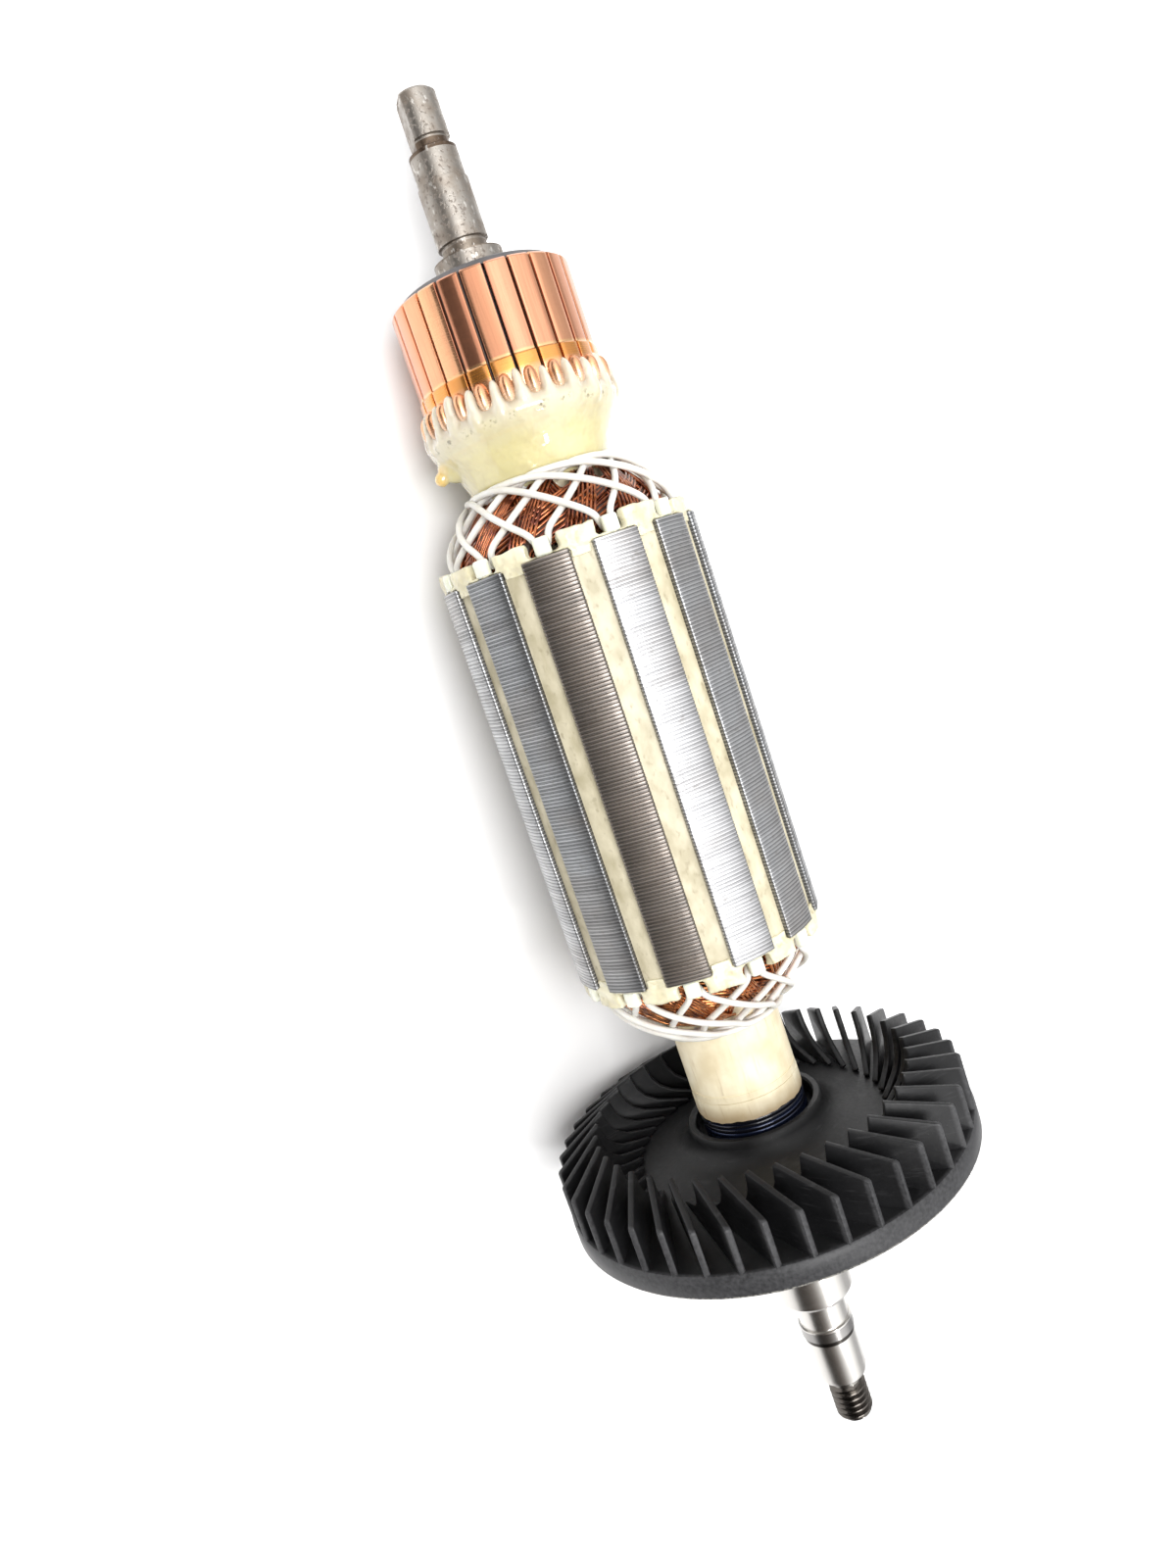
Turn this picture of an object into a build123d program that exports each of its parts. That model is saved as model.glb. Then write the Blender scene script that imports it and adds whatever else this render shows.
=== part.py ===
from build123d import *
import os
from math import cos, hypot, radians, sin, sqrt, tan

# Motor armature with its cooling fan. The shaft lies along X, with the commutator at the low end and the
# pinion seat at the high end. The origin is on the axis, at the middle of the drive end bearing seat.
# All sizes are in millimetres. Angles are in degrees about X, from +Z towards +Y.

# Shaft: lengths of its sections, from the commutator end to the threaded end
tip_length = 6.1
tip_groove_length = 1.1
comm_land_length = 4.4
comm_seat_length = 7.9
comm_relief_length = 1.6
shoulder_length = 3.7
seat_relief_length = 1.0
drive_seat_length = 15.4
pinion_neck_length = 4.8
band_length = 2.1
pinion_seat_length = 8.2
thread_neck_length = 1.2
thread_length = 6.3

# Shaft: diameters of its sections
tip_d = 5.9
tip_groove_d = 5.2
comm_land_d = 6.6
comm_seat_d = 7.0
comm_relief_d = 6.2
shoulder_d = 9.52
core_shaft_d = 11.0
drive_seat_d = 12.0
seat_relief_d = 11.6
pinion_neck_d = 7.8
band_d = 8.5
pinion_seat_d = 8.0
thread_neck_d = 4.9
thread_d = 5.9

# Shaft: edges and the flat on its tip
small_chamfer = 0.35
seat_chamfer = 0.6
pinion_chamfer = 0.9
thread_end_chamfer = 0.9
flat_depth = 0.75
flat_angle = -106.3

# Commutator
bar_count = 24
bar_angle = 11.2
bar_length = 17.6
track_length = 11.6
track_d = 24.9
riser_d = 25.3
bar_inner_d = 19.2
bar_gap = 0.55
bar_chamfer = 0.6
undercut = 0.6
hook_length = 4.2
hook_rise = 1.4
hook_width = 1.75
hub_cap = 1.0
hub_cap_d = 20.8
hub_cap_round = 0.4
hub_cap_flare = 1.1

# Resin collar
resin_length = 9.4
resin_top_d = 26.6
resin_waist_d = 18.6
resin_lip = 0.8
resin_lip_drop = 0.2
resin_waist_length = 2.0
flank_power = 1.7
web_length = 4.6
web_width = 1.5
web_height = 0.75
drip_root_d = 4.4
drip_tip_d = 1.8
drip_length = 3.0
drip_back = 5.5
drip_angle = -106.3

# Laminated core
core_length = 58.2
core_d = 36.8
slot_count = 12
slot_angle = 4.7
slot_mouth = 3.0
slot_depth = 8.2
tooth_lip = 1.2
tooth_neck = 3.6
liner_thickness = 0.25

# Slot wedges
wedge_thickness = 0.75
wedge_sink = 0.9
wedge_clearance = 0.05

# End insulators
insulator_thickness = 0.4
lobe_height = 2.5
lobe_width = 5.0
lobe_depth = 1.6
insulator_sink = 0.3
peg_height = 2.05
peg_width = 2.1
peg_depth = 1.3

# Tube round the shaft
tube_d = 16.2
comm_head_room = 9.6
drive_sleeve_length = 24.8
sleeve_line_depth = 0.12
sleeve_line_width = 0.35
sleeve_line_first = 1.3
sleeve_line_second = 2.7

# Coils
coil_span = 5
coil_clearance = 0.1
layer_gap = 0.5
coil_top_height = 2.5
coil_bottom_height = 2.3
coil_straight = 1.0
head_rise = 7.7
bundle_along = 1.98
bundle_across = 2.18

# Lacing
lacing_d = 1.2
lacing_turn = 42.0
lacing_start = 2.6
lacing_clearance = 0.15
lacing_comm_reach = 11.4
lacing_drive_reach = 12.2

# Ring between the sleeve and the fan
ring_length = 5.6
ring_d = 16.0
ring_chamfer = 0.3

# Fan
blade_count = 41
blade_angle = 3.9
fan_hub_depth = 13.4
fan_hub_d = 18.4
collar_height = 2.5
collar_bore_d = 18.3
collar_d = 20.7
cove_rise = 0.6
cove_width = 0.4
foot_drop = 0.3
foot_width = 1.4
dish_root_d = 27.0
dish_root_drop = 0.9
rim_d = 62.8
rim_drop = 3.9
rim_height = 3.1
rim_thickness = 1.3
disc_thickness = 1.6
hub_web = 1.5
blade_thickness = 0.9
blade_lean = 43.3
blade_inner_d = 48.0
blade_outer_d = 62.2
blade_inner_rise = 5.9
blade_knee_rise = 2.5
blade_heel = 2.6
blade_heel_rise = 0.6
blade_bow = 0.4
blade_tail_rise = 0.3
blade_tail = 8.0
blade_root_sink = 0.6

# Stations along the shaft
x_seat_start = -drive_seat_length / 2
x_seat_end = drive_seat_length / 2
x_neck_end = x_seat_end + pinion_neck_length
x_band_end = x_neck_end + band_length
x_pinion_end = x_band_end + pinion_seat_length
x_thread_start = x_pinion_end + thread_neck_length
x_end = x_thread_start + thread_length
x_hub_end = x_seat_start - seat_relief_length
x_fan_seat = x_hub_end - fan_hub_depth
x_sleeve_end = x_fan_seat - ring_length
x_core_end = x_sleeve_end - drive_sleeve_length
x_core_start = x_core_end - core_length
x_resin_end = x_core_start - comm_head_room
x_bars_end = x_resin_end - resin_length
x_bars_start = x_bars_end - bar_length
x_hub_face = x_bars_start - hub_cap
x_shoulder = x_hub_face - shoulder_length
x_comm_seat_end = x_shoulder - comm_relief_length
x_comm_seat_start = x_comm_seat_end - comm_seat_length
x_comm_land = x_comm_seat_start - comm_land_length
x_tip_end = x_comm_land - tip_groove_length
x_tip = x_tip_end - tip_length

slot_pitch = 360 / slot_count
bar_pitch = 360 / bar_count
slot_top = core_d / 2 - tooth_lip
slot_bottom = core_d / 2 - slot_depth


def turned(angle, shape):
    """The shape, modelled at +Z, turned about the shaft to the angle."""
    return Rot(-angle, 0, 0) * shape


def space_point(angle, radius, x):
    """A point given by its angle, radius and station."""
    return Vector(x, radius * sin(radians(angle)), radius * cos(radians(angle)))


def revolved(points):
    """A full turn about the shaft of an outline of (station, radius) points."""
    return revolve(Plane.XZ * make_face(Polyline(*points, close=True)), Axis.X)


def tube(x0, x1, inner_d, outer_d):
    """A plain tube on the shaft."""
    return revolved([(x0, inner_d / 2), (x0, outer_d / 2), (x1, outer_d / 2), (x1, inner_d / 2)])


def prism(points, x0, x1):
    """An outline across the shaft, as (sideways, radial) points at +Z, from one station to another."""
    face = Plane.YZ.offset(x0) * make_face(Polyline(*points, close=True))
    return extrude(face, x1 - x0)


def slot_width(radius):
    """Width of the slot between parallel tooth sides, at a radius."""
    half = radians(slot_pitch / 2)
    return 2 * radius * tan(half) - tooth_neck / cos(half)


def trapezoid(r0, r1, inset):
    """Outline in the slot between two radii, set in from the tooth sides."""
    w0 = slot_width(r0) / 2 - inset
    w1 = slot_width(r1) / 2 - inset
    return [(-w0, r0), (w0, r0), (w1, r1), (-w1, r1)]


def make_shaft():
    """The turned shaft, with the flat on its tip."""
    sections = [
        (x_tip, x_tip_end, tip_d, small_chamfer, 0),
        (x_tip_end, x_comm_land, tip_groove_d, 0, 0),
        (x_comm_land, x_comm_seat_start, comm_land_d, small_chamfer, 0),
        (x_comm_seat_start, x_comm_seat_end, comm_seat_d, 0, 0),
        (x_comm_seat_end, x_shoulder, comm_relief_d, 0, 0),
        (x_shoulder, x_bars_end, shoulder_d, small_chamfer, 0),
        (x_bars_end, x_sleeve_end, core_shaft_d, 0, 0),
        (x_sleeve_end, x_hub_end, drive_seat_d, 0, 0),
        (x_hub_end, x_seat_start, seat_relief_d, 0, 0),
        (x_seat_start, x_seat_end, drive_seat_d, 0, seat_chamfer),
        (x_seat_end, x_neck_end, pinion_neck_d, 0, 0),
        (x_neck_end, x_band_end, band_d, small_chamfer / 2, small_chamfer / 2),
        (x_band_end, x_pinion_end, pinion_seat_d, 0, pinion_chamfer),
        (x_pinion_end, x_thread_start, thread_neck_d, 0, 0),
        (x_thread_start, x_end, thread_d, small_chamfer, thread_end_chamfer),
    ]
    outline = [(x_tip, 0)]
    for x0, x1, d, lead, trail in sections:
        if lead:
            outline.append((x0, d / 2 - lead))
        outline.append((x0 + lead, d / 2))
        outline.append((x1 - trail, d / 2))
        if trail:
            outline.append((x1, d / 2 - trail))
    outline.append((x_end, 0))
    body = revolved(outline)
    reach = x_comm_land - x_tip
    flat = Pos(x_tip + reach / 2, 0, tip_d - flat_depth) * Box(reach, 2 * tip_d, tip_d)
    return body - turned(flat_angle, flat)


def make_commutator_ring():
    """The copper ring that is parted into bars, before its hooks are added."""
    step = x_bars_start + track_length
    return revolved([
        (x_bars_start, bar_inner_d / 2),
        (x_bars_start, track_d / 2 - bar_chamfer),
        (x_bars_start + bar_chamfer, track_d / 2),
        (step, track_d / 2),
        (step, riser_d / 2),
        (x_bars_end, riser_d / 2),
        (x_bars_end, bar_inner_d / 2),
    ])


def make_hook():
    """A folded hook on the winding end of a bar, at +Z."""
    base = riser_d / 2
    x0 = x_bars_end - hook_length
    outline = [
        (x0, base - undercut),
        (x0, base),
        (x0 + hook_length * 0.25, base + hook_rise * 0.75),
        (x0 + hook_length * 0.5, base + hook_rise),
        (x0 + hook_length * 0.85, base + hook_rise),
        (x_bars_end, base + hook_rise * 0.7),
        (x_bars_end, base - undercut),
    ]
    face = Plane.XZ.offset(-hook_width / 2) * make_face(Polyline(*outline, close=True))
    return extrude(face, hook_width)


def make_bar_slot(radius):
    """The slab between two bars, at +Z, out to a radius."""
    low = bar_inner_d / 2 - undercut
    slab = Box(bar_length, bar_gap, radius - low)
    return Pos((x_bars_start + x_bars_end) / 2, 0, (low + radius) / 2) * slab


def make_bars():
    """One bar with its hook, turned to each place."""
    ring = make_commutator_ring()
    wedge_reach = riser_d
    half = radians(bar_pitch / 2)
    sector = prism(
        [(0, 0), (wedge_reach * tan(half), wedge_reach), (-wedge_reach * tan(half), wedge_reach)],
        x_bars_start,
        x_bars_end,
    )
    bar = ring & sector
    for side in (-1, 1):
        bar = bar - turned(side * bar_pitch / 2, make_bar_slot(riser_d))
    bar = bar + make_hook()
    return [turned(bar_angle + k * bar_pitch, bar) for k in range(bar_count)]


def make_hub():
    """The moulded hub, with a rib between each two bars."""
    body = revolved([
        (x_hub_face, shoulder_d / 2),
        (x_hub_face, hub_cap_d / 2),
        (x_hub_face + hub_cap_round / 2, hub_cap_d / 2 + hub_cap_round),
        (x_bars_start, hub_cap_d / 2 + hub_cap_flare),
        (x_bars_start, bar_inner_d / 2),
        (x_bars_end, bar_inner_d / 2),
        (x_bars_end, shoulder_d / 2),
    ])
    rib = make_bar_slot(track_d / 2 - undercut)
    for k in range(bar_count):
        body = body + turned(bar_angle + (k + 0.5) * bar_pitch, rib)
    return body


def make_resin():
    """The waisted resin collar."""
    x_waist = x_resin_end - resin_waist_length
    top = resin_top_d / 2
    waist = resin_waist_d / 2
    drop = x_waist - x_bars_end - resin_lip
    flank = []
    for k in range(1, 6):
        flank_r = waist + (top - waist) * (1 - k / 5) ** flank_power
        flank.append((x_bars_end + resin_lip + drop * k / 5, flank_r))
    body = revolved([
        (x_bars_end, core_shaft_d / 2),
        (x_bars_end, top),
        (x_bars_end + resin_lip, top - resin_lip_drop),
        *flank,
        (x_resin_end, waist),
        (x_resin_end, core_shaft_d / 2),
    ])
    web = make_web()
    webs = [turned(bar_angle + (k + 0.5) * bar_pitch, web) for k in range(bar_count)]
    flank_r = waist + (top - waist) * ((drip_back - resin_waist_length) / drop) ** flank_power
    return body.fuse(*webs, turned(drip_angle, make_drip(flank_r - undercut)))


def make_drip(foot):
    """A drip that set on the flank, at +Z; foot is the radius that it starts from."""
    x = x_resin_end - drip_back
    neck = Pos(x, 0, foot + drip_length / 2) * Cone(drip_root_d / 2, drip_tip_d / 2, drip_length)
    return neck + Pos(x, 0, foot + drip_length) * Sphere(drip_tip_d / 2)


def make_web():
    """The resin that ran up between two hooks, at +Z."""
    base = riser_d / 2
    crest = base + web_height
    x0 = x_bars_end - web_length
    outline = [
        (x0, base),
        (x0 + web_length * 0.3, base + web_height * 0.7),
        (x0 + web_length * 0.6, crest),
        (x_bars_end, crest),
        (x_bars_end + resin_lip, crest - resin_lip_drop),
        (x_bars_end + resin_lip, base - undercut),
        (x_bars_end, base - undercut),
        (x_bars_end, base),
    ]
    face = Plane.XZ.offset(-web_width / 2) * make_face(Polyline(*outline, close=True))
    return extrude(face, web_width)


def make_tube():
    """The insulating tube, with two lines near its drive end."""
    body = tube(x_resin_end, x_sleeve_end, core_shaft_d, tube_d)
    line_d = tube_d - 2 * sleeve_line_depth
    cleared_d = tube_d + 2 * sleeve_line_depth
    for back in (sleeve_line_first, sleeve_line_second):
        x1 = x_sleeve_end - back
        body = body - tube(x1 - sleeve_line_width, x1, line_d, cleared_d)
    return body


def slot_outline():
    """The slot as stamped, from its bottom out through its mouth."""
    bottom = slot_width(slot_bottom) / 2
    top = slot_width(slot_top) / 2
    mouth = slot_mouth / 2
    return [(-bottom, slot_bottom), (bottom, slot_bottom), (top, slot_top), (mouth, slot_top),
            (mouth, core_d), (-mouth, core_d), (-mouth, slot_top), (-top, slot_top)]


def in_slots(shape):
    """Copies of a shape, one in each slot."""
    return [turned(slot_angle + k * slot_pitch, shape) for k in range(slot_count)]


def make_core():
    """The stack of laminations."""
    blank = Circle(core_d / 2) - Circle(tube_d / 2)
    slot = make_face(Polyline(*slot_outline(), close=True))
    for k in range(slot_count):
        blank = blank - Rot(0, 0, -(slot_angle + k * slot_pitch)) * slot
    return extrude(Plane.YZ.offset(x_core_start) * blank, core_length)


def make_liners():
    """A folded liner in each slot."""
    outer = prism(trapezoid(slot_bottom, slot_top, 0), x_core_start, x_core_end)
    hollow = trapezoid(slot_bottom + liner_thickness, core_d / 2, liner_thickness)
    return in_slots(outer - prism(hollow, x_core_start, x_core_end))


def make_wedges():
    """A strip under the lips of each slot, with a crest that fills the mouth."""
    wide = slot_width(slot_top - wedge_thickness) / 2 - liner_thickness - wedge_clearance
    mouth = slot_mouth / 2
    crest = core_d / 2 - wedge_sink
    low = slot_top - wedge_thickness
    strip = [(-wide, low), (wide, low), (wide, slot_top), (mouth, slot_top),
             (mouth, crest), (-mouth, crest), (-mouth, slot_top), (-wide, slot_top)]
    return in_slots(prism(strip, x_core_start, x_core_end))


def make_insulator(x_face, way):
    """An end insulator on an end face of the core; way is the direction out of the core."""
    plate_d = core_d - 2 * insulator_sink
    x_out = x_face + way * insulator_thickness
    plate = tube(min(x_face, x_out), max(x_face, x_out), tube_d, plate_d)
    opening = trapezoid(slot_bottom, core_d / 2 - insulator_sink - lobe_depth, 0)
    hole = prism(opening, min(x_face, x_out), max(x_face, x_out))
    for place in in_slots(hole):
        plate = plate - place
    x_lobe = x_face + way * lobe_height
    radius = plate_d / 2
    low = radius - lobe_depth
    side = lobe_width / 2
    lobe = prism(
        [(-side, low), (-side, radius * 0.985), (0, radius), (side, radius * 0.985), (side, low)],
        min(x_face, x_lobe),
        max(x_face, x_lobe),
    )
    x_peg = x_face + way * (insulator_thickness + peg_height)
    side = peg_width / 2
    low = radius - peg_depth
    peg = prism(
        [(-side, low), (-side, radius * 0.995), (side, radius * 0.995), (side, low)],
        min(x_face, x_peg),
        max(x_face, x_peg),
    )
    for place in in_slots(lobe):
        plate = plate + place
    for place in in_slots(turned(slot_pitch / 2, peg)):
        plate = plate + place
    return plate


def flat(*corners):
    """A flat face between corners."""
    return Face(Wire.make_polygon(corners, close=True))


def skinned(sections, looped):
    """A solid with flat facets from each outline of a row to the next, and back to the first in a loop."""
    faces = []
    for near, far in zip(sections, sections[1:] + sections[:looped]):
        for i, corner in enumerate(near):
            faces.append(flat(corner, near[i - 1], far[i]))
            faces.append(flat(near[i - 1], far[i - 1], far[i]))
    if not looped:
        faces += [flat(*sections[0]), flat(*sections[-1])]
    return Solid(Shell(faces))


def leg_section(x, angle, r_low, r_high, rising):
    """Corners of a coil leg across the shaft: inner side first if it is rising, outer side first if not."""
    near, far = (r_low, r_high) if rising else (r_high, r_low)
    corners = []
    for radius, sides in ((near, (-1, 1)), (far, (1, -1))):
        half = slot_width(radius) / 2 - liner_thickness - coil_clearance
        for side in sides:
            base = Vector(x, side * half, radius)
            corners.append(base.rotate(Axis.X, -angle))
    return corners


def head_section(angle, radius, rise, climb, along, across):
    """Corners of a bundle as (angle, radius, rise); climb is its way up the head, seen along the shaft."""
    up_r, up_z = climb
    corners = []
    for out, ahead in ((-1, 1), (-1, -1), (1, -1), (1, 1)):
        r = radius + out * up_z * across / 2 + ahead * up_r * along / 2
        z = rise - out * up_r * across / 2 + ahead * up_z * along / 2
        corners.append((angle, r, z))
    return corners


def coil_layers():
    """Lowest and highest radius of the outer layer and of the inner layer in a slot."""
    top_high = slot_top - wedge_thickness - coil_clearance
    top_low = top_high - coil_top_height
    bottom_high = top_low - layer_gap
    return (top_low, top_high), (bottom_high - coil_bottom_height, bottom_high)


def head_route():
    """Way of a bundle over the winding head: (angle, radius, rise, climb, along, across) at each knee.

    The bundle climbs the outside of the head, turns over near the top and comes down beside the tube.
    """
    low, high = coil_layers()[0]
    near = tube_d / 2
    depth = (low + high) / 2 - near
    knees = [
        (10, 0.840, 0.288, 1.00, 1.00),
        (36, 0.714, 0.538, 1.00, 0.96),
        (58, 0.543, 0.763, 0.86, 0.85),
        (76, 0.400, 0.950, 0.56, 0.64),
        (92, 0.214, 1.000, 0.52, 0.61),
        (104, 0.155, 0.850, 0.66, 0.70),
        (124, 0.205, 0.575, 0.95, 0.94),
        (141, 0.372, 0.313, 0.84, 0.90),
    ]
    places = [(near + share * depth, level * head_rise) for _, share, level, _, _ in knees]
    route = []
    for i, (angle, _, _, along, across) in enumerate(knees):
        before = places[max(i - 1, 0)]
        after = places[min(i + 1, len(places) - 1)]
        step = (after[0] - before[0], after[1] - before[1])
        climb = (step[0] / hypot(*step), step[1] / hypot(*step))
        route.append((angle, *places[i], climb, along * bundle_along, across * bundle_across))
    return route


def make_coil():
    """One coil, from the outer layer of the slot at +Z to the inner layer of the slot that it spans to."""
    outer_layer, inner_layer = coil_layers()
    span = coil_span * slot_pitch
    loop = []
    for x_face, way in ((x_core_start, -1), (x_core_end, 1)):
        x_turn = x_face + way * coil_straight
        sections = [leg_section(x_turn, 0, *outer_layer, True)]
        for knee in head_route():
            corners = head_section(*knee)
            sections.append([space_point(angle, r, x_face + way * rise) for angle, r, rise in corners])
        sections.append(leg_section(x_turn, span, *inner_layer, False))
        loop += sections[::-way]
    return skinned(loop, True)


def lacing_route(reach, waist_d, lift):
    """Way of a cord over the head: (share of its turn, radius, rise) from a peg to the waist."""
    stand = lacing_d / 2 + lacing_clearance
    r_peg = core_d / 2 - insulator_sink - peg_depth - stand
    route = [(0, r_peg, insulator_thickness + stand), (0.02, r_peg + lift * 0.1, lobe_height + stand)]
    shares = (0.24, 0.46, 0.70)
    for share, (_, radius, rise, climb, _, across) in zip(shares, head_route()[1:4]):
        out = across / 2 + stand + lift
        route.append((share, radius + climb[1] * out, rise - climb[0] * out))
    route.append((1, waist_d / 2 + lacing_d / 2 + lift, reach - lacing_d / 2))
    return route


def make_lacing(x_face, way, reach, waist_d):
    """Cords from behind each peg up to the waist, one set leaning each way and one lying over the other."""
    cords = []
    for lean, lift in ((-1, 0), (1, lacing_d)):
        points = []
        for share, radius, rise in lacing_route(reach, waist_d, lift):
            angle = lean * (lacing_start + share * lacing_turn)
            points.append(space_point(angle, radius, x_face + way * rise))
        round_points = []
        for k in range(6):
            turn = radians(60 * k)
            round_points.append((cos(turn) * lacing_d / 2, sin(turn) * lacing_d / 2))
        sections = []
        for i, here in enumerate(points):
            ahead = (points[min(i + 1, len(points) - 1)] - points[max(i - 1, 0)]).normalized()
            side = ahead.cross(Vector(0, here.Y, here.Z)).normalized()
            out = side.cross(ahead)
            sections.append([here + side * a + out * b for a, b in round_points])
        cord = skinned(sections, False)
        cords += [turned(slot_angle + (k + 0.5) * slot_pitch, cord) for k in range(slot_count)]
    return cords


def make_ring():
    """The blued ring between the sleeve and the fan."""
    inner = drive_seat_d / 2
    outer = ring_d / 2
    return revolved([
        (x_sleeve_end, inner),
        (x_sleeve_end, outer - ring_chamfer),
        (x_sleeve_end + ring_chamfer, outer),
        (x_fan_seat, outer),
        (x_fan_seat, inner),
    ])


def dish_height(radius):
    """Station of the fan disc's upper face at a radius, by the straight line from its root to the rim."""
    share = (radius - dish_root_d / 2) / (rim_d / 2 - dish_root_d / 2)
    return x_fan_seat + dish_root_drop + share * (rim_drop - dish_root_drop)


def make_fan():
    """The moulded fan: hub, dished disc, rim and leaning blades."""
    rim = rim_d / 2
    x_collar = x_fan_seat - collar_height
    x_rim = x_fan_seat + rim_drop + rim_height
    under_root = fan_hub_d / 2 + hub_web
    body = revolved([
        (x_fan_seat, drive_seat_d / 2),
        (x_fan_seat, collar_bore_d / 2),
        (x_collar, collar_bore_d / 2),
        (x_collar, collar_d / 2),
        (x_fan_seat - cove_rise, collar_d / 2 + cove_width),
        (x_fan_seat + foot_drop, collar_d / 2 + foot_width),
        (dish_height(dish_root_d / 2), dish_root_d / 2),
        (x_fan_seat + rim_drop, rim),
        (x_rim, rim),
        (x_rim, rim - rim_thickness),
        (dish_height(rim - rim_thickness) + disc_thickness, rim - rim_thickness),
        (dish_height(under_root) + disc_thickness, under_root),
        (x_hub_end, fan_hub_d / 2),
        (x_hub_end, drive_seat_d / 2),
    ])
    lean = radians(blade_lean)
    inner = blade_inner_d / 2
    offset = inner * sin(lean)
    u_inner = inner * cos(lean)
    u_outer = sqrt((blade_outer_d / 2) ** 2 - offset ** 2)
    u_tail = u_inner - blade_tail
    tail_r = hypot(u_tail, offset)
    origin = Vector(0, -u_inner * sin(lean), inner - u_inner * cos(lean))
    along = Vector(1, 0, 0)
    plane = Plane(origin=origin, x_dir=along, z_dir=along.cross(Vector(0, sin(lean), cos(lean))))
    outline = [
        (x_fan_seat - blade_inner_rise, u_inner),
        (x_fan_seat - blade_knee_rise, u_outer),
        (dish_height(blade_outer_d / 2) + blade_root_sink, u_outer),
        (dish_height(tail_r) + blade_root_sink, u_tail),
        (dish_height(tail_r) - blade_tail_rise, u_tail),
        (x_fan_seat - blade_heel_rise, u_inner - blade_heel),
        (x_fan_seat - blade_inner_rise * 0.5, u_inner - blade_bow),
    ]
    face = plane * make_face(Polyline(*outline, close=True))
    blade = extrude(face, blade_thickness / 2, both=True)
    blades = [turned(blade_angle + k * 360 / blade_count, blade) for k in range(blade_count)]
    return body.fuse(*blades)


def write(name, shape):
    """Writes one node's STEP file; a list of solids becomes one group."""
    if isinstance(shape, list):
        solids = [solid for item in shape for solid in item.solids()]
        shape = Compound(children=solids)
    shape.label = name
    export_step(shape, os.path.join("parts", name + ".step"))


def main():
    os.makedirs("parts", exist_ok=True)
    write("shaft", make_shaft())
    write("commutator_hub", make_hub())
    for k, bar in enumerate(make_bars(), 1):
        write(f"commutator_bar_{k:02d}", bar)
    write("resin_collar", make_resin())
    write("shaft_insulation", make_tube())
    write("lamination_stack", make_core())
    write("slot_liners", make_liners())
    write("slot_wedges", make_wedges())
    write("end_insulator_comm", make_insulator(x_core_start, -1))
    write("end_insulator_drive", make_insulator(x_core_end, 1))
    coil = make_coil()
    for k, placed in enumerate(in_slots(coil), 1):
        write(f"coil_{k:02d}", placed)
    write("lacing_comm", make_lacing(x_core_start, -1, lacing_comm_reach, resin_waist_d))
    write("lacing_drive", make_lacing(x_core_end, 1, lacing_drive_reach, tube_d))
    write("fan_seat_ring", make_ring())
    write("fan", make_fan())


main()
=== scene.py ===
"""Motor armature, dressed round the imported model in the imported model's own frame."""
import logging
import math
import random
from dataclasses import dataclass
from enum import Enum
from typing import Iterable, Sequence

import bpy
from bpy.types import Material, Node, NodeSocket, NodeTree, Object
from mathutils import Euler, Matrix, Vector


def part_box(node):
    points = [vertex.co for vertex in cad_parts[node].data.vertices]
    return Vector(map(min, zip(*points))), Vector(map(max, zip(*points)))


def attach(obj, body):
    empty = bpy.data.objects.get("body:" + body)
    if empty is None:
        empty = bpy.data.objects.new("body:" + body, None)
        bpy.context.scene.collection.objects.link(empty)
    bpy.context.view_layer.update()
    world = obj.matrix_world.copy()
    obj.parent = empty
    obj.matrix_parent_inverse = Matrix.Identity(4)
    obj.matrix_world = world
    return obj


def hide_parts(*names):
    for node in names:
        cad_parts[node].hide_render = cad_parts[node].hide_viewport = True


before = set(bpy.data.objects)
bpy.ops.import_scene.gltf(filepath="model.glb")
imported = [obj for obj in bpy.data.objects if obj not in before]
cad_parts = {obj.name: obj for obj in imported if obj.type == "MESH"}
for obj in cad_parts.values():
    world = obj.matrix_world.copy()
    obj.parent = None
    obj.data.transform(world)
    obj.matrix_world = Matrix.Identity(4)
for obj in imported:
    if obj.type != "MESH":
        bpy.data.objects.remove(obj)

LOG = logging.getLogger("armature")
Colour = tuple[float, float, float]
Outline = Sequence[tuple[float, float]]

# Metres in a millimetre
MM = 0.001
# Stations of the core's two end faces, in millimetres
CORE_START = -110.7
CORE_END = -52.5
# Radius of the paper tube round the shaft
TUBE = 8.1
# The core's slots, and the angle of the first in degrees, from +Z towards +Y
SLOTS = 12
SLOT_ANGLE = 4.7
# The commutator's bars, and the angle of the first
BARS = 24
BAR_ANGLE = 11.2


class Side(Enum):
    """The two winding heads: the value is the way out of the core, along the shaft."""

    COMM = -1
    DRIVE = 1

    @property
    def face(self) -> float:
        """The station of the core's end face under the head, in millimetres."""
        return CORE_START if self is Side.COMM else CORE_END

    @property
    def label(self) -> str:
        """The head's name in the names of pieces and nodes."""
        return self.name.lower()


class Slot(Enum):
    """Material slots of the record."""

    SHAFT = "shaft_steel"
    CORE = "core_steel"
    BLUED = "blued_steel"
    COPPER = "copper"
    WIRE = "magnet_wire"
    RESIN = "resin"
    INSULATOR = "insulator"
    SLEEVE = "sleeve"
    CORD = "cord"
    FAN = "fan_plastic"


# Shader kit


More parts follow.
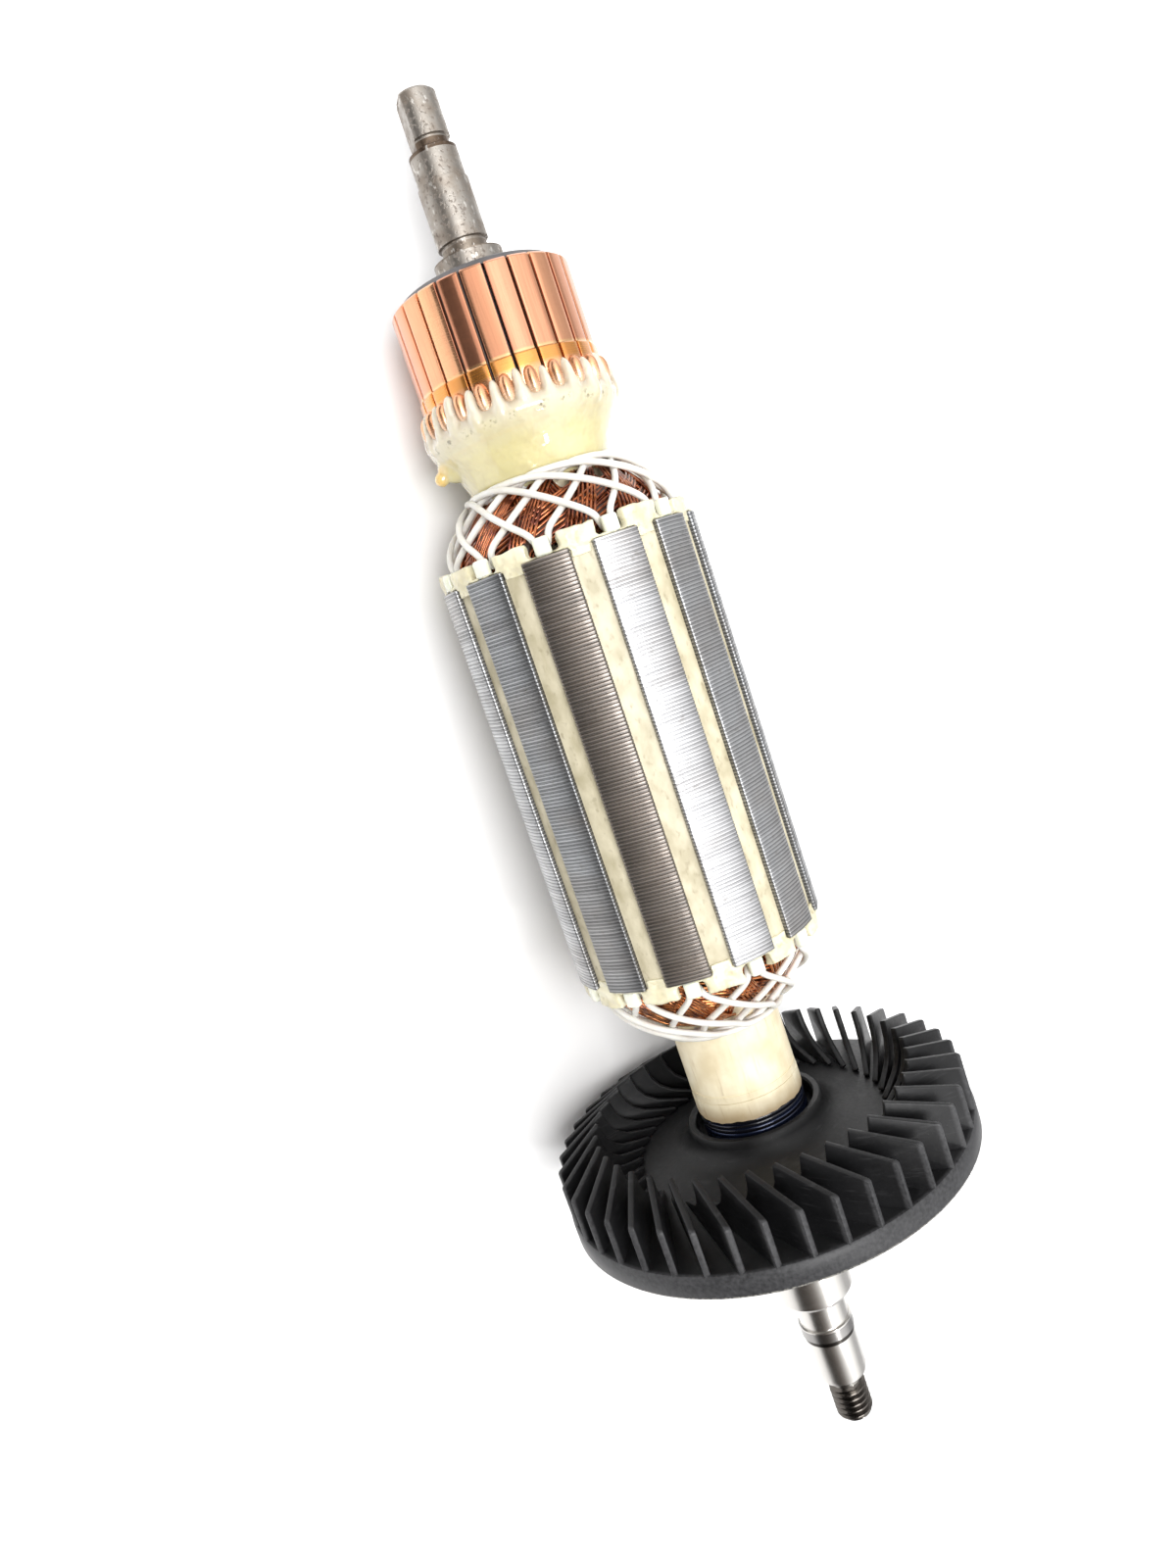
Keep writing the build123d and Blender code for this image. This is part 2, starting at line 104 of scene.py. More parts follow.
class Signal:
    """A shader socket that carries a number and takes part in Python sums."""

    def __init__(self, tree: NodeTree, socket: NodeSocket) -> None:
        """Keeps the node tree and the socket."""
        self.tree = tree
        self.socket = socket

    def _sum(self, operation: str, *terms: "Signal | float") -> "Signal":
        """Adds a Math node.

        Args:
            operation: The Math node's operation.
            terms: Its inputs, in order.

        Returns:
            The result as a signal.
        """
        node = self.tree.nodes.new("ShaderNodeMath")
        node.operation = operation
        for place, term in zip(node.inputs, terms):
            if isinstance(term, Signal):
                self.tree.links.new(term.socket, place)
            else:
                place.default_value = term
        return Signal(self.tree, node.outputs[0])

    def __add__(self, other: "Signal | float") -> "Signal":
        """Sum."""
        return self._sum("ADD", self, other)

    __radd__ = __add__

    def __sub__(self, other: "Signal | float") -> "Signal":
        """Difference."""
        return self._sum("SUBTRACT", self, other)

    def __rsub__(self, other: float) -> "Signal":
        """Difference from a number."""
        return self._sum("SUBTRACT", other, self)

    def __mul__(self, other: "Signal | float") -> "Signal":
        """Product."""
        return self._sum("MULTIPLY", self, other)

    __rmul__ = __mul__

    def __truediv__(self, other: "Signal | float") -> "Signal":
        """Quotient."""
        return self._sum("DIVIDE", self, other)

    def call(self, operation: str, *terms: "Signal | float") -> "Signal":
        """Any other Math operation with this signal first."""
        return self._sum(operation, self, *terms)

    def clamped(self) -> "Signal":
        """The signal held between 0 and 1."""
        return self._sum("MINIMUM", self._sum("MAXIMUM", self, 0.0), 1.0)

    def step(self, low: float, high: float) -> "Signal":
        """A ramp from 0 at low to 1 at high."""
        return ((self - low) / (high - low)).clamped()


class Recipe:
    """A material under construction, with the few kinds of node that the finishes share."""

    def __init__(self, name: str, room: bool = False) -> None:
        """Starts an empty node tree with its output and its shader, for a surface or for the room."""
        self.material = (bpy.data.worlds if room else bpy.data.materials).new(name)
        self.material.use_nodes = True
        self.tree = self.material.node_tree
        self.tree.nodes.clear()
        self.output = self.tree.nodes.new("ShaderNodeOutputWorld" if room else "ShaderNodeOutputMaterial")
        self.surface = self.tree.nodes.new("ShaderNodeBackground" if room else "ShaderNodeBsdfPrincipled")
        self.tree.links.new(self.surface.outputs[0], self.output.inputs[0])
        self.place = self.node("ShaderNodeTexCoord").outputs["Generated" if room else "Object"]
        split = self.node("ShaderNodeSeparateXYZ", sockets={0: self.place})
        self.x, self.y, self.z = (Signal(self.tree, s) for s in split.outputs)

    def node(self, kind: str, settings: dict | None = None, sockets: dict | None = None) -> Node:
        """Adds a node.

        Args:
            kind: The node's type name.
            settings: Attributes to set first; "stops" fills a colour ramp.
            sockets: Values or links for its inputs, by name or index.

        Returns:
            The node.
        """
        node = self.tree.nodes.new(kind)
        for key, value in (settings or {}).items():
            if key == "stops":
                ramp = node.color_ramp
                while len(ramp.elements) < len(value):
                    ramp.elements.new(0.5)
                for element, (at, colour) in zip(ramp.elements, value):
                    element.position = at
                    element.color = (*colour, 1.0)
            elif key == "interpolation" and kind == "ShaderNodeValToRGB":
                node.color_ramp.interpolation = value
            else:
                setattr(node, key, value)
        for key, value in (sockets or {}).items():
            self.feed(node.inputs[key], value)
        return node

    def feed(self, place: NodeSocket, value: object) -> None:
        """Links a signal or a socket to an input, or sets a value there."""
        value = value.socket if isinstance(value, Signal) else value
        if isinstance(value, NodeSocket):
            self.tree.links.new(value, place)
        elif isinstance(value, tuple) and len(value) == 3 and place.type == "RGBA":
            place.default_value = (*value, 1.0)
        else:
            place.default_value = value

    def stretched(self, stretch: Sequence[float]) -> NodeSocket:
        """The object coordinates, each scaled by its own factor."""
        sockets = {0: self.place, 1: tuple(stretch)}
        return self.node("ShaderNodeVectorMath", {"operation": "MULTIPLY"}, sockets).outputs[0]

    def noise(self, scale: float, detail: float = 3.0, stretch: Sequence[float] = (1, 1, 1)) -> Signal:
        """A noise signal between 0 and 1; scale is in features per metre."""
        sockets = {"Vector": self.stretched(stretch), "Scale": scale, "Detail": detail}
        return Signal(self.tree, self.node("ShaderNodeTexNoise", {}, sockets).outputs["Fac"])

    def angle(self) -> Signal:
        """The angle about the shaft, in turns from +Z towards +Y."""
        return self.y.call("ARCTAN2", self.z) / (2 * math.pi)

    def along(self, low: float, high: float) -> Signal:
        """A ramp along the shaft, from 0 at one station in millimetres to 1 at the other."""
        return self.x.step(low * MM, high * MM)

    def outward(self, low: float, high: float) -> Signal:
        """A ramp away from the shaft, from 0 at one radius in millimetres to 1 at the other."""
        radius = (self.y * self.y + self.z * self.z).call("SQRT")
        return radius.step(low * MM, high * MM)

    def hashed(self, signal: Signal) -> Signal:
        """A number between 0 and 1 that jumps with each whole step of the signal."""
        node = self.node("ShaderNodeTexWhiteNoise", {"noise_dimensions": "1D"}, {"W": signal.call("FLOOR")})
        return Signal(self.tree, node.outputs["Value"])

    def mixed(self, share: Signal, first: object, second: object) -> NodeSocket:
        """Mixes two colours.

        Args:
            share: How much of the second colour.
            first: A colour or a colour socket.
            second: A colour or a colour socket.

        Returns:
            The mixed colour's socket.
        """
        return self.node("ShaderNodeMix", {"data_type": "RGBA"}, {0: share, 6: first, 7: second}).outputs[2]

    def ramp(self, signal: Signal, stops: Sequence[tuple[float, Colour]], hard: bool = False) -> NodeSocket:
        """A colour ramp over a signal; hard makes it jump at each stop."""
        settings = {"stops": stops, "interpolation": "CONSTANT" if hard else "LINEAR"}
        return self.node("ShaderNodeValToRGB", settings, {0: signal}).outputs[0]

    def bands(self, edges: Sequence[tuple[float, Colour]], end: float) -> NodeSocket:
        """Colours along the shaft, each from its own station in millimetres, up to an end."""
        start = edges[0][0]
        stops = [((at - start) / (end - start), colour) for at, colour in edges]
        return self.ramp((self.x - start * MM) / ((end - start) * MM), stops, hard=True)

    def bump(self, height: Signal, depth: float, strength: float = 1.0) -> NodeSocket:
        """A Bump node's normal; depth is in millimetres for a height of 1."""
        sockets = {"Strength": strength, "Distance": depth * MM, "Height": height}
        return self.node("ShaderNodeBump", {}, sockets).outputs[0]

    def done(self, **sockets: object) -> Material:
        """Fills the surface shader's inputs, named with underscores for spaces, and gives the material."""
        for key, value in sockets.items():
            self.feed(self.surface.inputs[key.replace("_", " ")], value)
        return self.material


# Finishes


@dataclass(frozen=True)
class GroundSteel:
    """The shaft: worn and stained at the commutator end, bright at the drive end, dark on the thread."""

    worn: Colour = (0.33, 0.305, 0.275)
    bright: Colour = (0.66, 0.64, 0.61)
    stain: Colour = (0.10, 0.07, 0.05)
    oxide: Colour = (0.16, 0.15, 0.14)
    thread: Colour = (0.11, 0.10, 0.09)

    def make(self) -> Material:
        """Builds the material."""
        kit = Recipe("ground_steel")
        base = kit.bands(
            [
                (-173.1, self.worn),
                (-167.0, self.stain),
                (-165.9, self.worn),
                (-161.62, self.stain),
                (-161.5, self.worn),
                (-153.6, (0.20, 0.17, 0.14)),
                (-152.0, self.worn),
                (-60.0, self.bright),
                (12.4, self.oxide),
                (12.6, (0.33, 0.32, 0.31)),
                # Near black at the collar's lower step: a painted shadow line.
                (14.3, (0.06, 0.055, 0.05)),
                (14.75, self.bright),
                (22.7, (0.30, 0.29, 0.27)),
                (23.3, self.thread),
            ],
            30.3,
        )
        comm = 1 - kit.along(-150.0, -148.0)
        speck = kit.noise(1900, 5).step(0.55, 0.66) * comm
        blotch = kit.noise(420, 6).step(0.42, 0.66) * comm
        fleck = kit.noise(1300, 4, (0.6, 1, 1)).step(0.62, 0.68) * comm
        base = kit.mixed(blotch * 0.55, base, (0.21, 0.165, 0.125))
        base = kit.mixed(speck * 0.6, base, self.stain)
        base = kit.mixed(fleck * 0.6, base, (0.72, 0.70, 0.66))
        turned = kit.noise(1.0, 2, (9000, 300, 300))
        grain = kit.noise(2600, 3)
        rough = 0.24 + comm * 0.12 + blotch * 0.16 + speck * 0.25 + (turned - 0.5) * 0.12
        height = turned * 0.5 + (grain - speck * 1.6 - blotch * 0.7) * comm
        normal = kit.bump(height, 0.016, 0.8)
        return kit.done(Base_Color=base, Metallic=1.0 - speck * 0.6, Roughness=rough, Normal=normal)


@dataclass(frozen=True)
class TurnedCopper:
    """The bars: turned copper, each bar in a slightly different tone, varnished under the hooks."""

    pink: Colour = (0.68, 0.295, 0.185)
    gold: Colour = (0.84, 0.45, 0.245)
    brown: Colour = (0.30, 0.11, 0.06)
    varnish: Colour = (0.62, 0.24, 0.05)
    hook: Colour = (0.62, 0.24, 0.10)
    film: Colour = (0.66, 0.53, 0.38)
    # Angle of a gap between two bars, in turns
    gap_turn: float = 0.0103

    def make(self) -> Material:
        """Builds the material."""
        kit = Recipe("turned_copper")
        tone = kit.hashed((kit.angle() - self.gap_turn) * BARS + 2 * BARS)
        lines = kit.noise(1.0, 3, (140, 5200, 5200))
        rings = kit.noise(1.0, 2, (8000, 200, 200))
        base = kit.mixed(tone, self.pink, self.gold)
        base = kit.mixed((tone * 7.31).call("FRACT").step(0.72, 1.0) * 0.5, base, self.brown)
        base = kit.mixed(lines.step(0.45, 0.7) * 0.22, base, self.brown)
        cloud = kit.noise(260, 3)
        base = kit.mixed(cloud.step(0.5, 0.75) * 0.3, base, (0.70, 0.30, 0.18))
        band = kit.along(-136.15, -135.75)
        pale = band * (1 - kit.along(-135.8, -135.6))
        base = kit.mixed(band, base, kit.mixed(cloud, self.varnish, (0.75, 0.33, 0.08)))
        base = kit.mixed(pale * 0.6, base, (0.9, 0.66, 0.40))
        base = kit.mixed(kit.along(-134.2, -133.5), base, kit.mixed(cloud, self.hook, (0.90, 0.52, 0.30)))
        film = (kit.x + (cloud - 0.5) * (1.2 * MM)).step(-132.2 * MM, -130.2 * MM)
        base = kit.mixed(film * 0.75, base, self.film)
        return kit.done(
            Base_Color=base,
            Metallic=0.92 - film * 0.7,
            Roughness=0.20 + (rings - 0.5) * 0.14 + tone * 0.06 + band * 0.05,
            Coat_Weight=band * 0.6,
            Normal=kit.bump(rings * 0.6 + lines * 0.4, 0.008, 0.6),
        )


@dataclass(frozen=True)
class StampedSteel:
    """The edges of the laminations: bright, with faint brown varnish, a different tone in each sheet, and
    painted reflections and shade on the teeth.
    """

    steel: Colour = (0.56, 0.565, 0.575)
    # The pale, blue and brown tones of the teeth are painted reflections.
    pale: Colour = (0.70, 0.70, 0.71)
    blue: Colour = (0.34, 0.348, 0.358)
    brown: Colour = (0.285, 0.25, 0.22)
    dark: Colour = (0.06, 0.06, 0.062)
    varnish: Colour = (0.30, 0.245, 0.20)
    # Thickness of a sheet in millimetres
    sheet: float = 0.5017

    def make(self) -> Material:
        """Builds the material."""
        kit = Recipe("stamped_steel")
        index = kit.x / (self.sheet * MM) + 400.0
        sheet = kit.hashed(index)
        joint = (index.call("FRACT") - 0.5).call("ABSOLUTE").step(0.30, 0.46)
        # The tone of each tooth in turn round the core: painted reflections of the bright and dark things
        # round it.
        order = (self.steel, self.blue, self.pale, self.steel, self.brown, self.pale)
        order += (self.steel, self.brown, self.steel, self.blue, self.brown, self.pale)
        turn = (kit.angle() - SLOT_ANGLE / 360 + 1).call("FRACT")
        tooth = kit.ramp(turn, [(i / SLOTS, tone) for i, tone in enumerate(order)], hard=True)
        # Painted highlight along the middle of each tooth and painted shade towards its sides.
        tooth_side_shade = ((turn * SLOTS).call("FRACT") - 0.45).call("ABSOLUTE").step(0.08, 0.34)
        cloud = kit.noise(150, 4, (1, 0.5, 0.5))
        dirt = kit.noise(900, 4)
        # Painted shade on the walls of the slot mouths.
        low = 1 - kit.outward(17.4, 18.1)
        base = kit.mixed(cloud.step(0.45, 0.75) * 0.35, tooth, self.varnish)
        base = kit.mixed(tooth_side_shade * 0.3, base, self.dark)
        # Each sheet's own tone and the dark joints, with the painted shade of the slot mouths.
        base = kit.mixed((sheet * 0.18 + low * 0.4 + joint * 0.72).clamped(), base, self.dark)
        base = kit.mixed(dirt.step(0.62, 0.75) * 0.35, base, (0.15, 0.13, 0.11))
        rough = 0.30 + sheet * 0.10 + cloud * 0.10
        return kit.done(Base_Color=base, Metallic=0.95, Roughness=rough, Normal=kit.bump(dirt, 0.02, 0.5))


@dataclass(frozen=True)
class Enamelled:
    """Enamelled copper wire, deep red brown with orange lights."""

    deep: Colour = (0.15, 0.028, 0.012)
    light: Colour = (0.62, 0.20, 0.065)
    bright: Colour = (0.92, 0.38, 0.13)

    def make(self) -> Material:
        """Builds the material."""
        kit = Recipe("enamelled_wire")
        cloud = kit.noise(700, 4)
        drive = kit.along(-90.0, -70.0)
        base = kit.mixed(cloud.step(0.36, 0.64) * 0.8, self.deep, self.light)
        base = kit.mixed(drive * cloud.step(0.30, 0.60) * 0.75, base, self.bright)
        return kit.done(
            Base_Color=base,
            Metallic=0.9,
            Roughness=0.16 + cloud * 0.1,
            Coat_Weight=0.6,
            Coat_Roughness=0.12,
            Normal=kit.bump(kit.noise(2500, 2), 0.01, 0.3),
        )


@dataclass(frozen=True)
class Moulding:
    """A plain moulded or varnished surface: two tones in clouds, specks, and a fine rough skin."""

    name: str
    base: Colour
    second: Colour
    speck: Colour
    cloud_scale: float = 180.0
    speck_share: float = 0.3
    roughness: float = 0.5
    depth: float = 0.03
    skin_scale: float = 1600.0
    stretch: tuple[float, float, float] = (1.0, 1.0, 1.0)
    coat: float = 0.0
    subsurface: float = 0.0

    def make(self) -> Material:
        """Builds the material."""
        kit = Recipe(self.name)
        cloud = kit.noise(self.cloud_scale, 5, self.stretch)
        speck = kit.noise(self.skin_scale, 4, self.stretch)
        base = kit.mixed(cloud.step(0.35, 0.65), self.base, self.second)
        base = kit.mixed(speck.step(0.58, 0.74) * self.speck_share, base, self.speck)
        return kit.done(
            Base_Color=base,
            Roughness=self.roughness + (speck - 0.5) * 0.2,
            Normal=kit.bump(speck * 0.7 + cloud * 0.6, self.depth),
            Coat_Weight=self.coat,
            Coat_Roughness=0.05,
            Subsurface_Weight=self.subsurface,
            Subsurface_Radius=(1.0, 0.8, 0.4),
            Subsurface_Scale=0.0015,
        )


@dataclass(frozen=True)
class CastResin:
    """The resin collar: glossy and milky near the hooks, pale yellow towards the waist, with dark specks and
    painted shade in the recesses beside the hooks.
    """

    milk: Colour = (0.58, 0.54, 0.44)
    yellow: Colour = (0.60, 0.54, 0.29)
    speck: Colour = (0.16, 0.14, 0.08)
    recess_shade: Colour = (0.36, 0.26, 0.16)
    amber: Colour = (0.66, 0.45, 0.15)

    def make(self) -> Material:
        """Builds the material."""
        kit = Recipe("cast_resin")
        cloud = kit.noise(240, 4)
        ripple = kit.noise(420, 2)
        waist = (kit.along(-130.5, -125.5) + (cloud - 0.5) * 0.5).clamped()
        base = kit.mixed(waist, self.milk, self.yellow)
        bar = ((kit.angle() - BAR_ANGLE / 360) * BARS + 2 * BARS + 0.5).call("FRACT")
        from_hook = (bar - 0.5).call("ABSOLUTE")
        behind = (kit.x + 128.7 * MM).call("ABSOLUTE").step(0.7 * MM, 0.2 * MM)
        speck = from_hook.step(0.34, 0.10) * behind * kit.noise(1700, 3).step(0.5, 0.62)
        # Painted shade in the recesses beside each hook, with faint darker ripples.
        beside = from_hook.step(0.36, 0.22) * (1 - kit.along(-130.6, -129.0))
        base = kit.mixed((beside * 0.65 + ripple.step(0.52, 0.68) * 0.18).clamped(), base, self.recess_shade)
        base = kit.mixed(speck * 0.8, base, self.speck)
        tip = kit.outward(12.4, 13.4) * kit.along(-127.5, -126.8)
        base = kit.mixed(tip * 0.8, base, self.amber)
        return kit.done(
            Base_Color=base,
            Roughness=0.08 + cloud * 0.10,
            Coat_Weight=1.0,
            Coat_Roughness=0.03,
            Normal=kit.bump(ripple + cloud * 0.5, 0.4, 0.9),
            Subsurface_Weight=0.25,
            Subsurface_Radius=(1.0, 0.8, 0.4),
            Subsurface_Scale=0.002,
        )


@dataclass(frozen=True)
class FilledPlastic:
    """The fan's glass filled black plastic: a faint flow grain, scratches and paler dust."""

    black: Colour = (0.005, 0.005, 0.0055)
    grey: Colour = (0.019, 0.019, 0.020)
    worn: Colour = (0.062, 0.062, 0.065)
    flash: Colour = (0.27, 0.26, 0.23)

    def make(self) -> Material:
        """Builds the material."""
        kit = Recipe("filled_plastic")
        cloud = kit.noise(110, 5)
        grain = kit.noise(1900, 3)
        scratch = kit.noise(1.0, 2, (2600, 260, 260)).step(0.60, 0.72)
        dust = kit.noise(3800, 2).step(0.70, 0.78)
        base = kit.mixed(cloud.step(0.35, 0.7) * 0.6, self.black, self.grey)
        base = kit.mixed(scratch * 0.08 + dust * 0.2, base, (0.13, 0.13, 0.135))
        worn = kit.outward(30.6, 31.0) * (0.55 + (grain - 0.5) * 1.2)
        base = kit.mixed(worn.clamped(), base, self.worn)
        rim = kit.along(-15.43, -15.36) * kit.outward(31.1, 31.2)
        base = kit.mixed(rim * kit.noise(3400, 2).step(0.42, 0.52) * 0.8, base, self.flash)
        return kit.done(
            Base_Color=base,
            Roughness=0.42 + (grain - 0.5) * 0.25,
            Specular_IOR_Level=0.24,
            Normal=kit.bump(grain * 0.6 + cloud * 0.5 + scratch * 0.2, 0.03, 0.8),
        )


@dataclass(frozen=True)
class WoundPaper:
    """The varnished paper tube: cream, streaked along the shaft, stained brown towards its drive end."""

    cream: Colour = (0.84, 0.77, 0.58)
    deep: Colour = (0.68, 0.58, 0.38)
    stain: Colour = (0.34, 0.23, 0.11)

    def make(self) -> Material:
        """Builds the material."""
        kit = Recipe("wound_paper")
        streak = kit.noise(1.0, 4, (160, 1500, 1500))
        rings = kit.noise(1.0, 2, (1500, 60, 60))
        cloud = kit.noise(240, 5)
        base = kit.mixed(cloud.step(0.35, 0.68), self.cream, self.deep)
        base = kit.mixed(streak.step(0.50, 0.72) * 0.45, base, self.deep)
        end = (kit.x + cloud * (1.2 * MM)).step(-28.4 * MM, -26.2 * MM)
        base = kit.mixed((end * 0.7 + streak.step(0.62, 0.72) * 0.25).clamped(), base, self.stain)
        return kit.done(
            Base_Color=base,
            Roughness=0.40 + streak * 0.2,
            Coat_Weight=0.15,
            Normal=kit.bump(streak * 0.7 + rings * 0.5 + cloud * 0.5, 0.05),
        )


@dataclass(frozen=True)
class BluedSteel:
    """The turned and blued ring."""

    navy: Colour = (0.018, 0.028, 0.070)
    black: Colour = (0.012, 0.012, 0.016)

    def make(self) -> Material:
        """Builds the material."""
        kit = Recipe("blued_steel")
        rings = kit.noise(1.0, 2, (2600, 40, 40))
        base = kit.mixed(rings.step(0.4, 0.6), self.black, self.navy)
        normal = kit.bump(rings, 0.02)
        return kit.done(Base_Color=base, Metallic=0.7, Roughness=0.25, Coat_Weight=0.5, Normal=normal)


class Finishes:
    """Every finish, made once."""

    def __init__(self) -> None:
        """Makes the materials."""
        self.shaft = GroundSteel().make()
        self.copper = TurnedCopper().make()
        self.core = StampedSteel().make()
        self.wire = Enamelled().make()
        self.resin = CastResin().make()
        self.fan = FilledPlastic().make()
        self.blued = BluedSteel().make()
        self.phenolic = Moulding(
            "phenolic", (0.050, 0.047, 0.050), (0.075, 0.070, 0.072), (0.02, 0.02, 0.02), roughness=0.42
        ).make()
        self.insulator = Moulding(
            "insulator_cream",
            (0.56, 0.51, 0.34),
            (0.74, 0.70, 0.52),
            (0.30, 0.23, 0.12),
            cloud_scale=420,
            speck_share=0.45,
            roughness=0.42,
            depth=0.14,
            skin_scale=1100,
            coat=0.2,
            subsurface=0.15,
        ).make()
        self.peg = Moulding(
            "peg_cream",
            (0.68, 0.70, 0.58),
            (0.76, 0.77, 0.66),
            (0.6, 0.6, 0.48),
            speck_share=0.1,
            roughness=0.25,
            depth=0.03,
            coat=0.4,
            subsurface=0.2,
        ).make()
        self.paper = Moulding(
            "strip_cream",
            (0.40, 0.355, 0.235),
            (0.58, 0.53, 0.39),
            (0.20, 0.155, 0.09),
            cloud_scale=420,
            speck_share=0.55,
            roughness=0.5,
            depth=0.08,
            skin_scale=1300,
            stretch=(0.6, 1, 1),
        ).make()
        self.sleeve = WoundPaper().make()
        # Near black, on the bundles under the strands: painted shade in the gaps between the wires.
        self.varnish = Moulding(
            "wire_gap_shade",
            (0.022, 0.009, 0.006),
            (0.045, 0.016, 0.009),
            (0.01, 0.005, 0.004),
            roughness=0.3,
        ).make()
        self.cord = Moulding(
            "tying_cord",
            (0.74, 0.73, 0.69),
            (0.66, 0.64, 0.59),
            (0.48, 0.44, 0.36),
            cloud_scale=400,
            speck_share=0.18,
            roughness=0.55,
            depth=0.05,
            skin_scale=2400,
            subsurface=0.1,
        ).make()


# The bench


class Bench:
    """Short names for the modelling steps that every piece goes through."""

    @staticmethod
    def clear() -> None:
        """Leaves edit mode and deselects everything."""
        if bpy.context.object and bpy.context.object.mode != "OBJECT":
            bpy.ops.object.mode_set(mode="OBJECT")
        bpy.ops.object.select_all(action="DESELECT")

    @staticmethod
    def hold(piece: Object, mode: str = "OBJECT") -> None:
        """Selects one piece alone, makes it active and enters a mode."""
        Bench.clear()
        piece.select_set(True)
        bpy.context.view_layer.objects.active = piece
        if mode != "OBJECT":
            bpy.ops.object.mode_set(mode=mode)

    @staticmethod
    def traced(name: str, points: Sequence[Vector]) -> Object:
        """Draws a line of edges.

        Args:
            name: The piece's name.
            points: Its corners in millimetres.

        Returns:
            The piece, in edit mode with its last corner selected.
        """
        Bench.clear()
        bpy.ops.mesh.primitive_plane_add(size=MM, location=(0, 0, 0))
        piece = bpy.context.object
        piece.name = piece.data.name = name
        bpy.ops.object.mode_set(mode="EDIT")
        bpy.ops.mesh.select_mode(type="VERT")
        bpy.ops.mesh.select_all(action="SELECT")
        bpy.ops.mesh.merge(type="CENTER")
        bpy.ops.transform.translate(value=points[0] * MM)
        for before, after in zip(points, points[1:]):
            bpy.ops.mesh.extrude_region_move(TRANSFORM_OT_translate={"value": (after - before) * MM})
        return piece

    @staticmethod
    def cleaned(merge: float = 0.001) -> None:
        """In edit mode: merges doubles within some millimetres and points the faces outwards."""
        bpy.ops.mesh.select_all(action="SELECT")
        bpy.ops.mesh.remove_doubles(threshold=merge * MM)
        bpy.ops.mesh.normals_make_consistent(inside=False)
        bpy.ops.object.mode_set(mode="OBJECT")

    @staticmethod
    def lathe(name: str, outline: Outline, steps: int = 96) -> Object:
        """Turns an outline about the shaft.

        Args:
            name: The piece's name.
            outline: (station, radius) corners in millimetres; a closed one repeats its first corner.
            steps: Faces in a full turn.

        Returns:
            The piece, in object mode.
        """
        piece = Bench.traced(name, [Vector((x, 0.0, r)) for x, r in outline])
        bpy.ops.mesh.select_all(action="SELECT")
        bpy.ops.mesh.spin(steps=steps, angle=2 * math.pi, center=(0, 0, 0), axis=(1, 0, 0))
        Bench.cleaned()
        return piece

    @staticmethod
    def filled(name: str, corners: Sequence[Vector]) -> Object:
        """Draws a closed outline and fills it, and stays in edit mode."""
        piece = Bench.traced(name, corners)
        bpy.ops.mesh.select_all(action="SELECT")
        bpy.ops.mesh.edge_face_add()
        return piece

    @staticmethod
    def slab(name: str, corners: Sequence[Vector], thickness: Vector) -> Object:
        """Fills an outline and extrudes it.

        Args:
            name: The piece's name.
            corners: The outline's corners in millimetres.
            thickness: The extrusion in millimetres.

        Returns:
            The piece, in object mode.
        """
        piece = Bench.filled(name, corners)
        bpy.ops.mesh.extrude_region_move(TRANSFORM_OT_translate={"value": thickness * MM})
        Bench.cleaned()
        return piece

    @staticmethod
    def modified(piece: Object, kind: str, **settings: object) -> None:
        """Adds a modifier to a piece and applies it."""
        Bench.hold(piece)
        modifier = piece.modifiers.new(kind.lower(), kind)
        for key, value in settings.items():
            setattr(modifier, key, value)
        bpy.ops.object.modifier_apply(modifier=modifier.name)

    @staticmethod
    def eased(piece: Object, width: float, segments: int = 2) -> None:
        """Rounds the edges of a piece by a width in millimetres, and shades it."""
        sharp = math.radians(30)
        Bench.modified(
            piece, "BEVEL", width=width * MM, segments=segments, limit_method="ANGLE", angle_limit=sharp
        )
        Bench.shaded(piece)

    @staticmethod
    def shaded(piece: Object, crease: float = 40.0) -> None:
        """Shades a piece smooth, apart from its edges past the crease in degrees."""
        Bench.hold(piece)
        bpy.ops.object.shade_smooth_by_angle(angle=math.radians(crease))

    @staticmethod
    def smoothed(piece: Object) -> Object:
        """Shades a piece smooth all over."""
        Bench.hold(piece)
        bpy.ops.object.shade_smooth()
        return piece

    @staticmethod
    def ball(size: Sequence[float], station: float, radius: float, segments: int, rings: int) -> Object:
        """A ball at +Z, or an egg.

        Args:
            size: Its three half widths in millimetres.
            station: Its place along the shaft.
            radius: Its middle's distance from the shaft's axis.
            segments: Faces round it.
            rings: Faces from pole to pole.

        Returns:
            The piece.
        """
        Bench.clear()
        bpy.ops.mesh.primitive_uv_sphere_add(
            segments=segments, ring_count=rings, radius=MM, location=(0, 0, 0)
        )
        piece = bpy.context.object
        piece.data.transform(Matrix.Diagonal((*size, 1)))
        return Bench.moved(piece, station, 0, radius)

    @staticmethod
    def moved(piece: Object, x: float, y: float, z: float) -> Object:
        """Moves a piece's mesh by millimetres."""
        piece.data.transform(Matrix.Translation(Vector((x, y, z)) * MM))
        return piece

    @staticmethod
    def turned(piece: Object, angle: float) -> Object:
        """Turns a piece's mesh about the shaft, from +Z towards +Y, by degrees."""
        piece.data.transform(Matrix.Rotation(math.radians(-angle), 4, "X"))
        return piece

    @staticmethod
    def copied(piece: Object, name: str, angle: float) -> Object:
        """A copy with its own mesh, turned about the shaft."""
        twin = piece.copy()
        twin.data = piece.data.copy()
        twin.name = twin.data.name = name
        bpy.context.scene.collection.objects.link(twin)
        return Bench.turned(twin, angle)

    @staticmethod
    def joined(name: str, pieces: Sequence[Object]) -> Object:
        """Joins pieces into the first one."""
        Bench.hold(pieces[0])
        for piece in pieces:
            piece.select_set(True)
        bpy.ops.object.join()
        pieces[0].name = pieces[0].data.name = name
        return pieces[0]

